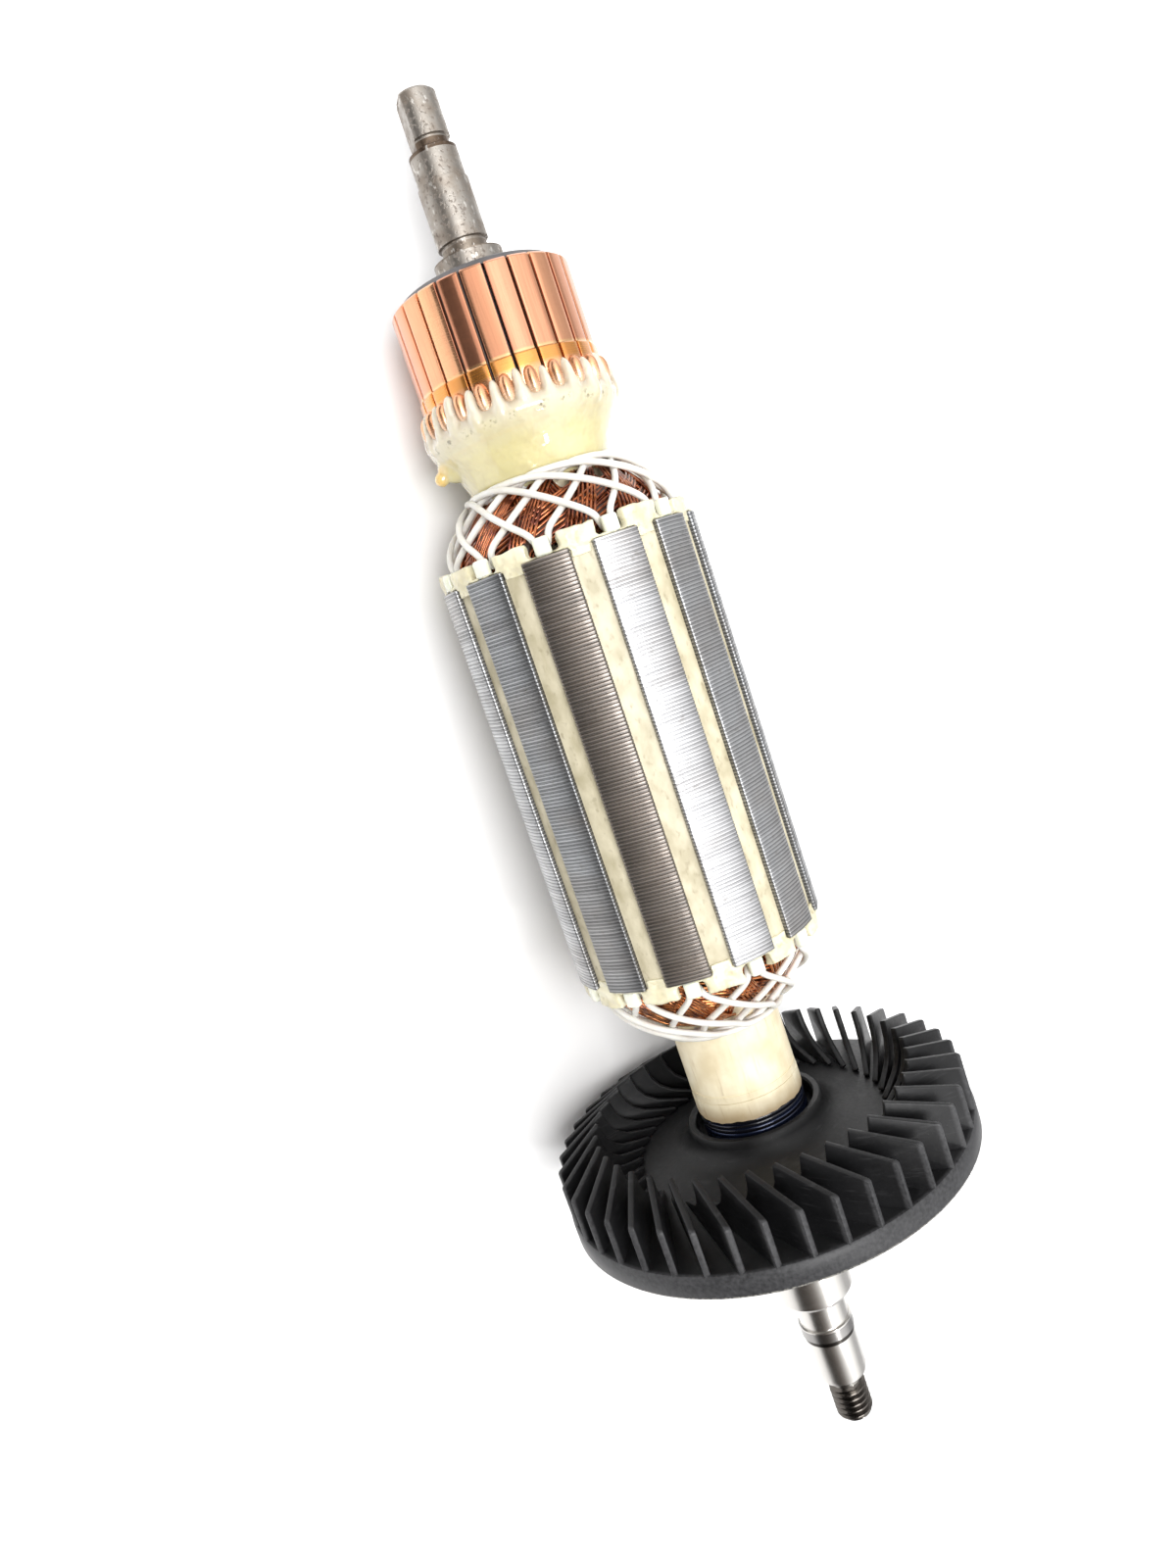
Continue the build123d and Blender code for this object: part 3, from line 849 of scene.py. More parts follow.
    @staticmethod
    def strands(
        name: str, routes: Iterable[Sequence[Vector]], thickness: float, sides: int, smooth: int
    ) -> Object:
        """Tubes along smooth routes, as one mesh.

        Args:
            name: The piece's name.
            routes: Control points of each strand, in millimetres.
            thickness: The strand's diameter in millimetres.
            sides: The bevel's resolution.
            smooth: Points between two control points.

        Returns:
            The piece, in object mode.
        """
        Bench.clear()
        bpy.ops.curve.primitive_nurbs_path_add(location=(0, 0, 0))
        piece = bpy.context.object
        curve = piece.data
        curve.splines.clear()
        for route in routes:
            spline = curve.splines.new("NURBS")
            spline.points.add(len(route) - 1)
            for point, place in zip(spline.points, route):
                point.co = (*(place * MM), 1.0)
            spline.order_u = 3
            spline.use_endpoint_u = True
        curve.resolution_u = smooth
        curve.bevel_depth = thickness / 2 * MM
        curve.bevel_resolution = sides
        curve.use_fill_caps = True
        bpy.ops.object.convert(target="MESH")
        piece = bpy.context.object
        piece.name = piece.data.name = name
        bpy.ops.object.shade_smooth()
        return piece

    @staticmethod
    def dressed(piece: Object, finish: Material, slot: Slot, *nodes: str) -> None:
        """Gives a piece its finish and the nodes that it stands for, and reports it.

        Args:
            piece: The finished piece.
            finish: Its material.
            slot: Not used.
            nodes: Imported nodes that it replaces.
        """
        Bench.clear()
        piece.data.materials.clear()
        piece.data.materials.append(finish)
        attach(piece, "root")
        if nodes:
            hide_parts(*nodes)
        LOG.info("%s: %d faces", piece.name, len(piece.data.polygons))

    @staticmethod
    def kept(node: str, finish: Material) -> None:
        """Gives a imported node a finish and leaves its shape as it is."""
        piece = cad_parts[node]
        piece.data.materials.clear()
        piece.data.materials.append(finish)
        LOG.info("%s: kept", node)


def around(angle: float, radius: float, station: float) -> Vector:
    """A point by its angle about the shaft in degrees, its radius and its station in millimetres."""
    turn = math.radians(angle)
    return Vector((station, radius * math.sin(turn), radius * math.cos(turn)))


# Sub-assemblies


@dataclass
class Shaft:
    """The turned shaft with its flatted tip and its thread."""

    tip: float = -173.1
    flat_angle: float = -106.3
    flat_height: float = 2.2
    flat_length: float = 7.2
    pitch: float = 1.0
    crest: float = 2.95
    root: float = 2.42
    thread_from: float = 24.0
    end: float = 30.3

    def body(self) -> Object:
        """The plain turned part, from the tip to the neck before the thread."""
        tip = [(self.tip, 0.0), (self.tip, 2.55), (-172.7, 2.95), (-167.1, 2.95), (-167.0, 2.6)]
        small_seat = [(-165.95, 2.6), (-165.6, 3.3), (-161.6, 3.3), (-161.5, 3.5), (-153.7, 3.5)]
        shoulder = [(-153.6, 3.1), (-152.05, 3.1), (-151.8, 4.76), (-129.7, 4.76), (-129.7, 5.5)]
        middle = [(-27.7, 5.5), (-27.7, 6.0), (-8.7, 6.0)]
        large_seat = [(-8.7, 5.8), (-7.7, 5.8), (-7.7, 6.0), (7.1, 6.0), (7.55, 5.75), (7.7, 5.4)]
        band = [(7.7, 3.9), (12.5, 3.9), (12.6, 4.22), (14.4, 4.25), (14.6, 4.0)]
        pinion_seat = [(21.7, 4.0), (22.3, 3.85), (22.8, 3.2), (22.8, 2.45), (24.2, 2.45), (24.2, 0.0)]
        outline = tip + small_seat + shoulder + middle + large_seat + band + pinion_seat
        piece = Bench.lathe("shaft_body", outline, 72)
        Bench.clear()
        bpy.ops.mesh.primitive_cube_add(size=1, location=(0, 0, 0))
        cutter = bpy.context.object
        wide, deep = 9.0, 4.0
        cutter.data.transform(Matrix.Diagonal((self.flat_length * MM, wide * MM, deep * MM, 1)))
        Bench.moved(cutter, self.tip + self.flat_length / 2, 0, self.flat_height + deep / 2)
        Bench.turned(cutter, self.flat_angle)
        Bench.modified(piece, "BOOLEAN", operation="DIFFERENCE", object=cutter, solver="EXACT")
        bpy.data.objects.remove(cutter)
        return piece

    def envelope(self, x: float) -> float:
        """The largest radius of the thread at a station: it tapers at both ends."""
        limits = [(24.0, 2.45), (24.6, 3.0), (29.1, 3.0), (29.7, 2.72), (30.1, 2.3), (30.3, 1.7)]
        for (x0, r0), (x1, r1) in zip(limits, limits[1:]):
            if x <= x1:
                return r0 + (r1 - r0) * max(0.0, x - x0) / (x1 - x0)
        return limits[-1][1]

    def thread(self) -> Object:
        """The threaded end: a closed helical skin, held inside its envelope, over a solid core."""
        turns, height = 9, self.crest - self.root
        start = self.thread_from - 1.5
        # One turn: share of the pitch, share of the height from root to crest
        tooth = ((0.0, 0.0), (0.12, 0.0), (0.42, 0.92), (0.50, 1.0), (0.64, 1.0), (0.72, 0.92))
        outline = []
        for k in range(turns):
            base = start + k * self.pitch
            outline += [(base + at * self.pitch, self.root + height * up) for at, up in tooth]
        outline.append((start + turns * self.pitch, self.root))
        piece = Bench.traced("shaft_thread", [Vector((x, 0.0, r)) for x, r in outline])
        bpy.ops.object.mode_set(mode="OBJECT")
        settings = {"axis": "X", "angle": 2 * math.pi, "screw_offset": self.pitch * MM, "iterations": 1}
        settings |= {"steps": 48, "render_steps": 48}
        settings |= {"use_merge_vertices": True, "merge_threshold": 0.001 * MM}
        Bench.modified(piece, "SCREW", **settings)
        for station, side in ((self.thread_from, -1), (self.end, 1)):
            Bench.hold(piece, "EDIT")
            bpy.ops.mesh.select_all(action="SELECT")
            bpy.ops.mesh.bisect(
                plane_co=(station * MM, 0, 0),
                plane_no=(side, 0, 0),
                use_fill=True,
                clear_outer=True,
                threshold=0.001 * MM,
            )
        bpy.ops.object.mode_set(mode="OBJECT")
        for vertex in piece.data.vertices:
            place = vertex.co
            radius = math.hypot(place.y, place.z) / MM
            shrink = min(1.0, self.envelope(place.x / MM) / radius)
            vertex.co = Vector((place.x, place.y * shrink, place.z * shrink))
        Bench.hold(piece, "EDIT")
        Bench.cleaned()
        core = [(24.1, 0.0), (24.1, 2.4), (29.95, 2.4), (30.25, 1.72), (30.27, 1.6), (30.27, 0.0)]
        return Bench.joined("shaft_thread", [piece, Bench.lathe("thread_core", core, 48)])

    def build(self, finishes: Finishes) -> None:
        """Makes the shaft and dresses it."""
        piece = Bench.joined("shaft_turned", [self.body(), self.thread()])
        Bench.shaded(piece, 18.0)
        Bench.dressed(piece, finishes.shaft, Slot.SHAFT, "shaft")


@dataclass
class Commutator:
    """The copper bars with their hooks, on the moulded hub."""

    start: float = -147.3
    step: float = -135.7
    end: float = -129.7
    inner: float = 9.6
    track: float = 12.45
    riser: float = 12.65
    gap_angle: float = 1.75
    hook_from: float = -133.9
    hook_to: float = -129.9

    def bar(self) -> Object:
        """One bar at +Z: its long section, swept through its width, with eased edges."""
        outline = [
            (self.start, self.inner),
            (self.start, self.track - 0.35),
            (self.start + 0.3, self.track),
            (self.step, self.track),
            (self.step + 0.15, self.riser),
            (self.end, self.riser),
            (self.end, self.inner),
        ]
        half = (360 / BARS - self.gap_angle) / 2
        piece = Bench.filled("bar", [around(-half, r, x) for x, r in outline])
        bpy.ops.mesh.spin(steps=4, angle=math.radians(-2 * half), center=(0, 0, 0), axis=(1, 0, 0))
        Bench.cleaned()
        Bench.eased(piece, 0.09)
        return piece

    def hook(self) -> Object:
        """The folded hook at +Z: a long rounded pad."""
        middle = (self.hook_from + self.hook_to) / 2
        length = (self.hook_to - self.hook_from) / 2
        piece = Bench.ball((1, 1, 1), 0, 0, 20, 12)
        for vertex in piece.data.vertices:
            x, y, z = vertex.co / MM
            fat = (1 - abs(x) ** 3) ** 0.5 if abs(x) < 1 else 0
            fat /= math.hypot(y, z) or 1
            vertex.co = Vector((middle + x * length, y * 0.9 * fat, 12.5 + z * 1.2 * fat)) * MM
        return Bench.smoothed(piece)

    def build(self, finishes: Finishes) -> None:
        """Makes one bar, copies it round, and dresses the hub."""
        model = Bench.joined("bar", [self.bar(), self.hook()])
        for k in range(BARS):
            twin = Bench.copied(model, f"bar_{k + 1:02d}", BAR_ANGLE + k * 360 / BARS)
            Bench.dressed(twin, finishes.copper, Slot.COPPER, f"commutator_bar_{k + 1:02d}")
        bpy.data.objects.remove(model)
        Bench.kept("commutator_hub", finishes.phenolic)


@dataclass
class ResinCollar:
    """The cast resin: a waisted collar with a web of resin between each two hooks, and one drip."""

    gap_angle: float = 3.7
    drip_angle: float = -106.3

    def webs(self) -> list[Object]:
        """A rounded ridge of resin in each gap, modelled once and copied round."""
        rng = random.Random(5)
        lumps = [((2.7, 0.85, 1.3), -131.3, 12.4), ((2.0, 1.3, 1.15), -129.9, 12.7)]
        model = Bench.joined("web", [Bench.ball(size, x, r, 16, 12) for size, x, r in lumps])
        webs = []
        for k in range(BARS):
            twin = Bench.copied(model, "web", 0)
            Bench.moved(twin, rng.uniform(-0.35, 0.35), 0, rng.uniform(-0.2, 0.15))
            webs.append(Bench.turned(twin, self.gap_angle + k * 360 / BARS + rng.uniform(-0.6, 0.6)))
        bpy.data.objects.remove(model)
        return webs

    def drip(self) -> Object:
        """The small nub of resin that ran down and set, on its broad foot."""
        lumps = [((1.0, 1.0, 1.0), -125.5, 13.3), ((0.95, 0.95, 1.14), -125.9, 12.2)]
        foot = ((2.2, 2.2, 2.42), -126.6, 11.0)
        balls = [Bench.ball(size, x, r, 20, 14) for size, x, r in (*lumps, foot)]
        return Bench.turned(Bench.joined("drip", balls), self.drip_angle)

    def build(self, finishes: Finishes) -> None:
        """Makes the collar in one skin."""
        face = [(-129.7, 5.5), (-129.9, 11.2)]
        lip = [(-130.9, 12.6), (-130.3, 13.35), (-129.2, 13.7), (-128.2, 13.35), (-127.0, 12.5)]
        waist = [(-125.6, 11.5), (-124.2, 10.75), (-122.8, 10.2), (-121.6, 9.8), (-120.3, 9.5)]
        body = Bench.lathe("collar", face + lip + waist + [(-120.3, 5.5), face[0]])
        piece = Bench.joined("resin_collar_cast", [body, *self.webs(), self.drip()])
        Bench.modified(piece, "REMESH", mode="VOXEL", voxel_size=0.22 * MM)
        Bench.modified(piece, "SMOOTH", factor=0.5, iterations=4)
        Bench.dressed(Bench.smoothed(piece), finishes.resin, Slot.RESIN, "resin_collar")


@dataclass
class Core:
    """The stack of sheets, with its slot strips and liners."""

    radius: float = 18.4
    mouth_floor: float = 17.0
    mouth: float = 3.0
    corner: float = 0.4
    sheets: int = 116
    edge: float = 0.10
    pitch: float = 360 / SLOTS

    def outline(self) -> list[Vector]:
        """The stamping's outline at the first face."""
        pitch = self.pitch
        flank = [(self.mouth / 2, self.mouth_floor)]
        for turn in (0, 30, 60):
            lean = math.radians(turn)
            across = self.mouth / 2 + self.corner * (1 - math.cos(lean))
            flank.append((across, self.radius - self.corner * (1 - math.sin(lean))))
        first = math.degrees((self.mouth / 2 + self.corner) / self.radius)
        side = [(math.degrees(math.asin(y / r)), r) for y, r in flank]
        side += [(first + (pitch / 2 - first) * i / 3, self.radius) for i in range(3)]
        shape = side + [(pitch / 2, self.radius)] + [(pitch - angle, r) for angle, r in reversed(side)]
        bases = [SLOT_ANGLE + k * pitch for k in range(SLOTS)]
        return [around(base + angle, r, CORE_START) for base in bases for angle, r in shape]

    def build(self, finishes: Finishes) -> None:
        """Stamps one sheet with eased edges and stacks it."""
        Bench.dressed(self.stacked(), finishes.core, Slot.CORE, "lamination_stack")
        Bench.kept("slot_wedges", finishes.paper)
        Bench.kept("slot_liners", finishes.paper)

    def stacked(self) -> Object:
        """One sheet, open on both faces, repeated along the shaft."""
        thick = (CORE_END - CORE_START) / self.sheets
        piece = Bench.filled("laminations", self.outline())
        ease = self.edge * 0.9
        for step in (ease, thick - 2 * ease, ease):
            bpy.ops.mesh.extrude_region_move(TRANSFORM_OT_translate={"value": (step * MM, 0, 0)})
        bpy.ops.object.mode_set(mode="OBJECT")
        ends = (CORE_START * MM, (CORE_START + thick) * MM)
        for vertex in piece.data.vertices:
            if min(abs(vertex.co.x - x) for x in ends) < 0.01 * MM:
                vertex.co = self.eased_corner(vertex.co)
        Bench.hold(piece, "EDIT")
        bpy.ops.mesh.select_mode(type="FACE")
        bpy.ops.mesh.select_all(action="DESELECT")
        bpy.ops.object.mode_set(mode="OBJECT")
        for face in piece.data.polygons:
            face.select = abs(face.normal.x) > 0.99
        bpy.ops.object.mode_set(mode="EDIT")
        bpy.ops.mesh.delete(type="ONLY_FACE")
        Bench.cleaned()
        settings = {"use_relative_offset": False, "use_constant_offset": True, "use_merge_vertices": True}
        settings |= {"constant_offset_displace": (thick * MM, 0, 0), "merge_threshold": 0.01 * MM}
        Bench.modified(piece, "ARRAY", count=self.sheets, **settings)
        Bench.shaded(piece)
        return piece

    def eased_corner(self, place: Vector) -> Vector:
        """A corner of the stamping, drawn in from the outside and from the sides of its slot mouth."""
        radius = math.hypot(place.y, place.z) / MM
        angle = math.degrees(math.atan2(place.y, place.z))
        off = (angle - SLOT_ANGLE + self.pitch / 2) % self.pitch - self.pitch / 2
        side = math.radians(abs(off)) * radius - self.mouth / 2
        lean = max(0.0, 1 - max(side, 0.0) / self.corner)
        angle += math.copysign(math.degrees(self.edge * lean / radius), off)
        return around(angle, radius - self.edge * (1 - 0.7 * lean), place.x / MM) * MM


@dataclass
class Windings:
    """The coils: strands of enamelled wire that follow each bundle over both winding heads."""

    # Degrees between the two slots of a coil
    span: float = 150.0
    # The wire, and the step from one strand to the next
    wire: float = 0.43
    pitch: float = 0.64
    leans: tuple[float, ...] = (30.0, 26.5, 33.0)
    # Radius of the outer and of the inner layer in a slot
    outer: float = 15.1
    inner: float = 12.25
    # Depth and rise of a winding head, and the two widths of a bundle
    depth: float = 7.0
    rise: float = 7.7
    along: float = 2.05
    across: float = 2.25

    def head(self) -> list[tuple[float, ...]]:
        """The bundle over a head: angle, radius, rise, its climb in radius and rise, its two widths."""
        # Angle, then shares: of the depth outside the tube, of the rise, of the two widths
        knees = [
            (10, 0.840, 0.288, 1.00, 1.00),
            (36, 0.714, 0.538, 1.00, 0.96),
            (58, 0.543, 0.763, 0.86, 0.85),
            (76, 0.400, 0.950, 0.56, 0.64),
            (92, 0.214, 1.000, 0.52, 0.61),
            (104, 0.155, 0.850, 0.66, 0.70),
            (124, 0.205, 0.575, 0.95, 0.94),
            (141, 0.380, 0.313, 0.86, 0.92),
        ]
        places = [(TUBE + share * self.depth, level * self.rise) for _, share, level, _, _ in knees]
        bundle = []
        for i, (angle, _, _, along, across) in enumerate(knees):
            before, after = places[max(i - 1, 0)], places[min(i + 1, len(places) - 1)]
            out, up = after[0] - before[0], after[1] - before[1]
            climb = [round(part / math.hypot(out, up), 3) for part in (out, up)]
            lengths = [round(length, 2) for length in (*places[i], along * self.along, across * self.across)]
            bundle.append((angle, *lengths[:2], *climb, *lengths[2:]))
        return bundle

    def route(self, side: Side, out: float, ahead: float, rng: random.Random) -> list[Vector]:
        """One strand.

        Args:
            side: The winding head.
            out: The strand's place across the bundle, from -1 to 1.
            ahead: The same, along the bundle's climb.
            rng: Where the small unevenness comes from.

        Returns:
            Its control points in millimetres.
        """
        face, way = side.face, side.value

        def wander() -> float:
            """A small shift from the strand's own place."""
            return rng.uniform(-0.09, 0.09)

        points = []
        for rise in (-2.0, 0.6):
            points.append(Vector((face + way * rise, -ahead * (1.7 + out * 0.2), self.outer + out * 1.1)))
        for angle, radius, rise, up_r, up_z, along, across in self.head():
            off = (out + wander()) * across / 2 * 0.9
            on = (ahead + wander()) * along / 2 * 1.05
            place = (radius + off * up_z + on * up_r, rise - off * up_r + on * up_z)
            points.append(around(angle, place[0], face + way * place[1]))
        for rise in (1.0, -3.0):
            leg = Vector((face + way * rise, -ahead * (1.05 - out * 0.3), self.inner - out * 1.1))
            leg.rotate(Matrix.Rotation(math.radians(-self.span), 3, "X"))
            points.append(leg)
        return points

    def coat(self, side: Side, lean: float, rng: random.Random) -> list[list[Vector]]:
        """The strands over the outside of a head: a wide group, and a narrow one under it."""
        profile = [(-1.0, 15.3), (1.2, 15.35), (3.0, 15.1), (4.8, 13.95)]
        profile += [(6.6, 12.6), (8.2, 11.2), (9.4, 9.9), (9.9, 8.9)]
        routes = []
        for count, tilt, sink, first in ((7, lean, 0.0, 0.0), (4, -lean * 0.5, 0.7, 9.0)):
            for i in range(count):
                place = (i - (count - 1) / 2) * self.pitch
                tilt += rng.uniform(-1.2, 1.2)
                points = []
                for j, (rise, radius) in enumerate(profile):
                    share = j / (len(profile) - 1)
                    shift = math.degrees(place / radius) * (1.0 - 0.15 * share)
                    angle = first * min(1.0, 3 * share) + shift + tilt * share**1.4
                    r = radius - sink - rng.uniform(0.0, 0.16)
                    points.append(around(angle, r, side.face + side.value * rise))
                routes.append(points)
        return routes

    def build(self, finishes: Finishes) -> None:
        """Winds a few coils, each with its own lean, and copies them over the bundles, which are painted
        near black as the shade between the wires.
        """
        rng = random.Random(11)
        places = [(1.1, ahead) for ahead in (-0.95, -0.32, 0.32, 0.95)]
        places += [(out, side * 1.15) for side in (-1, 1) for out in (0.55, 0.0, -0.55)]
        models = []
        for lean in self.leans:
            routes = []
            for side in Side:
                routes += [self.route(side, out, ahead, rng) for out, ahead in places]
                routes += self.coat(side, lean, rng)
            models.append(Bench.strands("coil", routes, self.wire, 1, 3))
        for k in range(SLOTS):
            angle = SLOT_ANGLE + k * 360 / SLOTS
            twin = Bench.copied(models[k % len(models)], f"winding_{k + 1:02d}", angle)
            Bench.dressed(twin, finishes.wire, Slot.WIRE)
            # The bundle under the strands, painted near black as the shade between the wires.
            Bench.kept(f"coil_{k + 1:02d}", finishes.varnish)
        for model in models:
            bpy.data.objects.remove(model)


@dataclass
class Lacing:
    """White cord tied in crosses over a winding head."""

    side: Side
    low_end: tuple[float, float]
    high_end: tuple[float, float]
    cord: float = 0.92
    # Degrees from the middle of a peg to its cord, and from there to the far end of each set
    start: float = 2.6
    turns: tuple[float, float] = (40.0, 58.0)

    def low(self) -> list[tuple[float, float, float]]:
        """The cords that lie underneath: share of their turn, radius and rise of each point."""
        return [
            (-0.05, 15.2, 1.2),
            (0.0, 16.05, 1.9),
            (0.03, 16.1, 3.25),
            (0.24, 14.85, 5.05),
            (0.46, 13.45, 6.85),
            (0.7, 11.95, 8.47),
            (0.95, self.low_end[0] + 0.3, self.low_end[1] - 0.5),
            (1.3, *self.low_end),
            (1.8, *self.low_end),
            (2.0, self.low_end[0] - 1.5, self.low_end[1] - 1.0),
        ]

    def high(self) -> list[tuple[float, float, float]]:
        """The cords that lie on top, in longer and flatter arcs."""
        return [
            (-0.04, 15.2, 1.2),
            (0.0, 16.05, 1.9),
            (0.03, 16.2, 3.2),
            (0.17, 15.75, 5.0),
            (0.34, 14.6, 6.9),
            (0.52, 13.2, 8.5),
            (0.72, 11.95, 9.7),
            (0.92, self.high_end[0] + 0.2, self.high_end[1] - 0.25),
            (1.2, *self.high_end),
            (1.6, *self.high_end),
            (1.75, self.high_end[0] - 1.8, self.high_end[1] - 1.0),
        ]

    def build(self, finishes: Finishes) -> None:
        """Lays the cords of both sets."""
        rng = random.Random(7 + self.side.value)
        face, lean = self.side.face, self.side.value
        routes = []
        for way, turn, profile in ((-lean, self.turns[0], self.low()), (lean, self.turns[1], self.high())):
            for k in range(SLOTS):
                base = SLOT_ANGLE + (k + 0.5) * 360 / SLOTS + rng.uniform(-0.8, 0.8)
                reach = turn + rng.uniform(-3.0, 3.0)
                places = [(base + way * (self.start + share * reach), r, rise) for share, r, rise in profile]
                routes.append([around(angle, r, face + lean * rise) for angle, r, rise in places])
        piece = Bench.strands(f"cords_{self.side.label}", routes, self.cord, 3, 5)
        Bench.dressed(piece, finishes.cord, Slot.CORD, f"lacing_{self.side.label}")


@dataclass
class Insulators:
    """The moulded spiders: a plate, a rough lobe at each slot, a smooth peg on each tooth."""

    plate: float = 0.4
    lobe_rise: float = 2.5
    lobe_width: float = 2.55
    stem_width: float = 1.42
    peg_width: float = 1.08
    voxel: float = 0.24
    grain: float = 1.5

    def block(self, name: str, outline: Outline, start: float, length: float) -> Object:
        """An outline of places across and up at +Z, extruded along the shaft from a station."""
        return Bench.slab(name, [Vector((start, y, r)) for y, r in outline], Vector((length, 0, 0)))

    def rough(self, side: Side) -> Object:
        """The plate and its lobes, in one uneven skin."""
        name, face, way = f"spider_{side.label}", side.face, side.value
        a, b = (face, face + way * self.plate)
        plate = Bench.lathe(name, [(a, TUBE), (a, 18.1), (b, 18.05), (b, TUBE), (a, TUBE)])
        rng = random.Random(3 + way)
        lobes = []
        for k in range(SLOTS):
            high = self.lobe_rise + rng.uniform(-0.35, 0.25)
            wide = self.lobe_width + rng.uniform(-0.2, 0.2)
            top = [(-wide, 16.3), (-wide, 17.75), (-wide * 0.5, 18.05), (0, 18.12), (wide * 0.5, 18.05)]
            under = [(wide, 17.75), (wide, 16.3), (wide * 0.5, 16.5), (0, 16.6), (-wide * 0.5, 16.5)]
            lobe = self.block("lobe", top + under, face, way * high)
            half = self.stem_width
            stem = [(-half, 16.9), (-half, 17.9), (half, 17.9), (half, 16.9)]
            lobe = Bench.joined("lobe", [lobe, self.block("stem", stem, face - way * 1.3, way * 2.6)])
            lobes.append(Bench.turned(lobe, SLOT_ANGLE + k * 360 / SLOTS))
        piece = Bench.joined(name, [plate, *lobes])
        Bench.modified(piece, "REMESH", mode="VOXEL", voxel_size=self.voxel * MM)
        grain = bpy.data.textures.new(f"{name}_grain", "CLOUDS")
        grain.noise_scale = self.grain * MM
        settings = {"texture": grain, "strength": 0.62 * MM, "mid_level": 0.6, "texture_coords": "LOCAL"}
        Bench.modified(piece, "DISPLACE", **settings)
        Bench.modified(piece, "SMOOTH", factor=0.5, iterations=1)
        return Bench.smoothed(piece)

    def pegs(self, side: Side) -> Object:
        """The rounded pegs that hold the cords, modelled once and copied round."""
        half, way = self.peg_width, side.value
        outline = [(-half, 16.8), (-half, 18.0), (-0.4, 18.15), (0.4, 18.15), (half, 18.0), (half, 16.8)]
        model = self.block("peg", outline, side.face + way * 0.1, way * 2.35)
        Bench.eased(model, 0.38, 3)
        twins = [Bench.copied(model, "peg", SLOT_ANGLE + (k + 0.5) * 360 / SLOTS) for k in range(SLOTS)]
        bpy.data.objects.remove(model)
        return Bench.joined(f"pegs_{side.label}", twins)

    def build(self, finishes: Finishes) -> None:
        """Makes both ends."""
        for side in Side:
            node = f"end_insulator_{side.label}"
            Bench.dressed(self.rough(side), finishes.insulator, Slot.INSULATOR, node)
            Bench.dressed(self.pegs(side), finishes.peg, Slot.INSULATOR, node)


@dataclass
class Ring:
    """The blued ring between the sleeve and the fan, with turned lines."""

    start: float = -27.7
    end: float = -22.1
    radius: float = 8.0
    lines: int = 8
    lap: float = 1.3

    def cuff(self, finishes: Finishes) -> None:
        """The uneven end of the paper tube, which laps over the ring."""
        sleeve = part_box("shaft_insulation")[1][2] / MM
        back, front = self.start - 1.6, self.start + self.lap
        outline = [(back, sleeve - 0.1), (back + 0.05, sleeve + 0.05)]
        outline += [(self.start + self.lap * 0.5, sleeve + 0.07), (front, sleeve + 0.02)]
        outline += [(front, self.radius), (back, self.radius), (back, sleeve - 0.1)]
        piece = Bench.lathe("sleeve_cuff", outline, 120)
        rng = random.Random(17)
        waves = [(n, rng.uniform(0, 6.28), rng.uniform(0.03, 0.08)) for n in (2, 3, 7, 13, 29)]
        for vertex in piece.data.vertices:
            if vertex.co.x > (self.start + self.lap * 0.7) * MM:
                turn = math.atan2(vertex.co.y, vertex.co.z)
                vertex.co.x += sum(size * math.sin(n * turn + phase) for n, phase, size in waves) * MM
        Bench.shaded(piece)
        Bench.dressed(piece, finishes.sleeve, Slot.SLEEVE)

    def build(self, finishes: Finishes) -> None:
        """Turns the ring and dresses the sleeve beside it."""
        outline = [(self.start, 6.0), (self.start, self.radius - 0.25), (self.start + 0.25, self.radius)]
        pitch = (self.end - self.start - 0.5) / self.lines
        for k in range(self.lines):
            base = self.start + 0.3 + k * pitch
            outline += [(base + pitch * 0.55, self.radius), (base + pitch * 0.75, self.radius - 0.09)]
            outline += [(base + pitch * 0.98, self.radius)]
        outline += [(self.end, self.radius), (self.end, 6.0), (self.start, 6.0)]
        piece = Bench.lathe("blued_ring", outline)
        Bench.shaded(piece)
        Bench.dressed(piece, finishes.blued, Slot.BLUED, "fan_seat_ring")
        Bench.kept("shaft_insulation", finishes.sleeve)
        self.cuff(finishes)


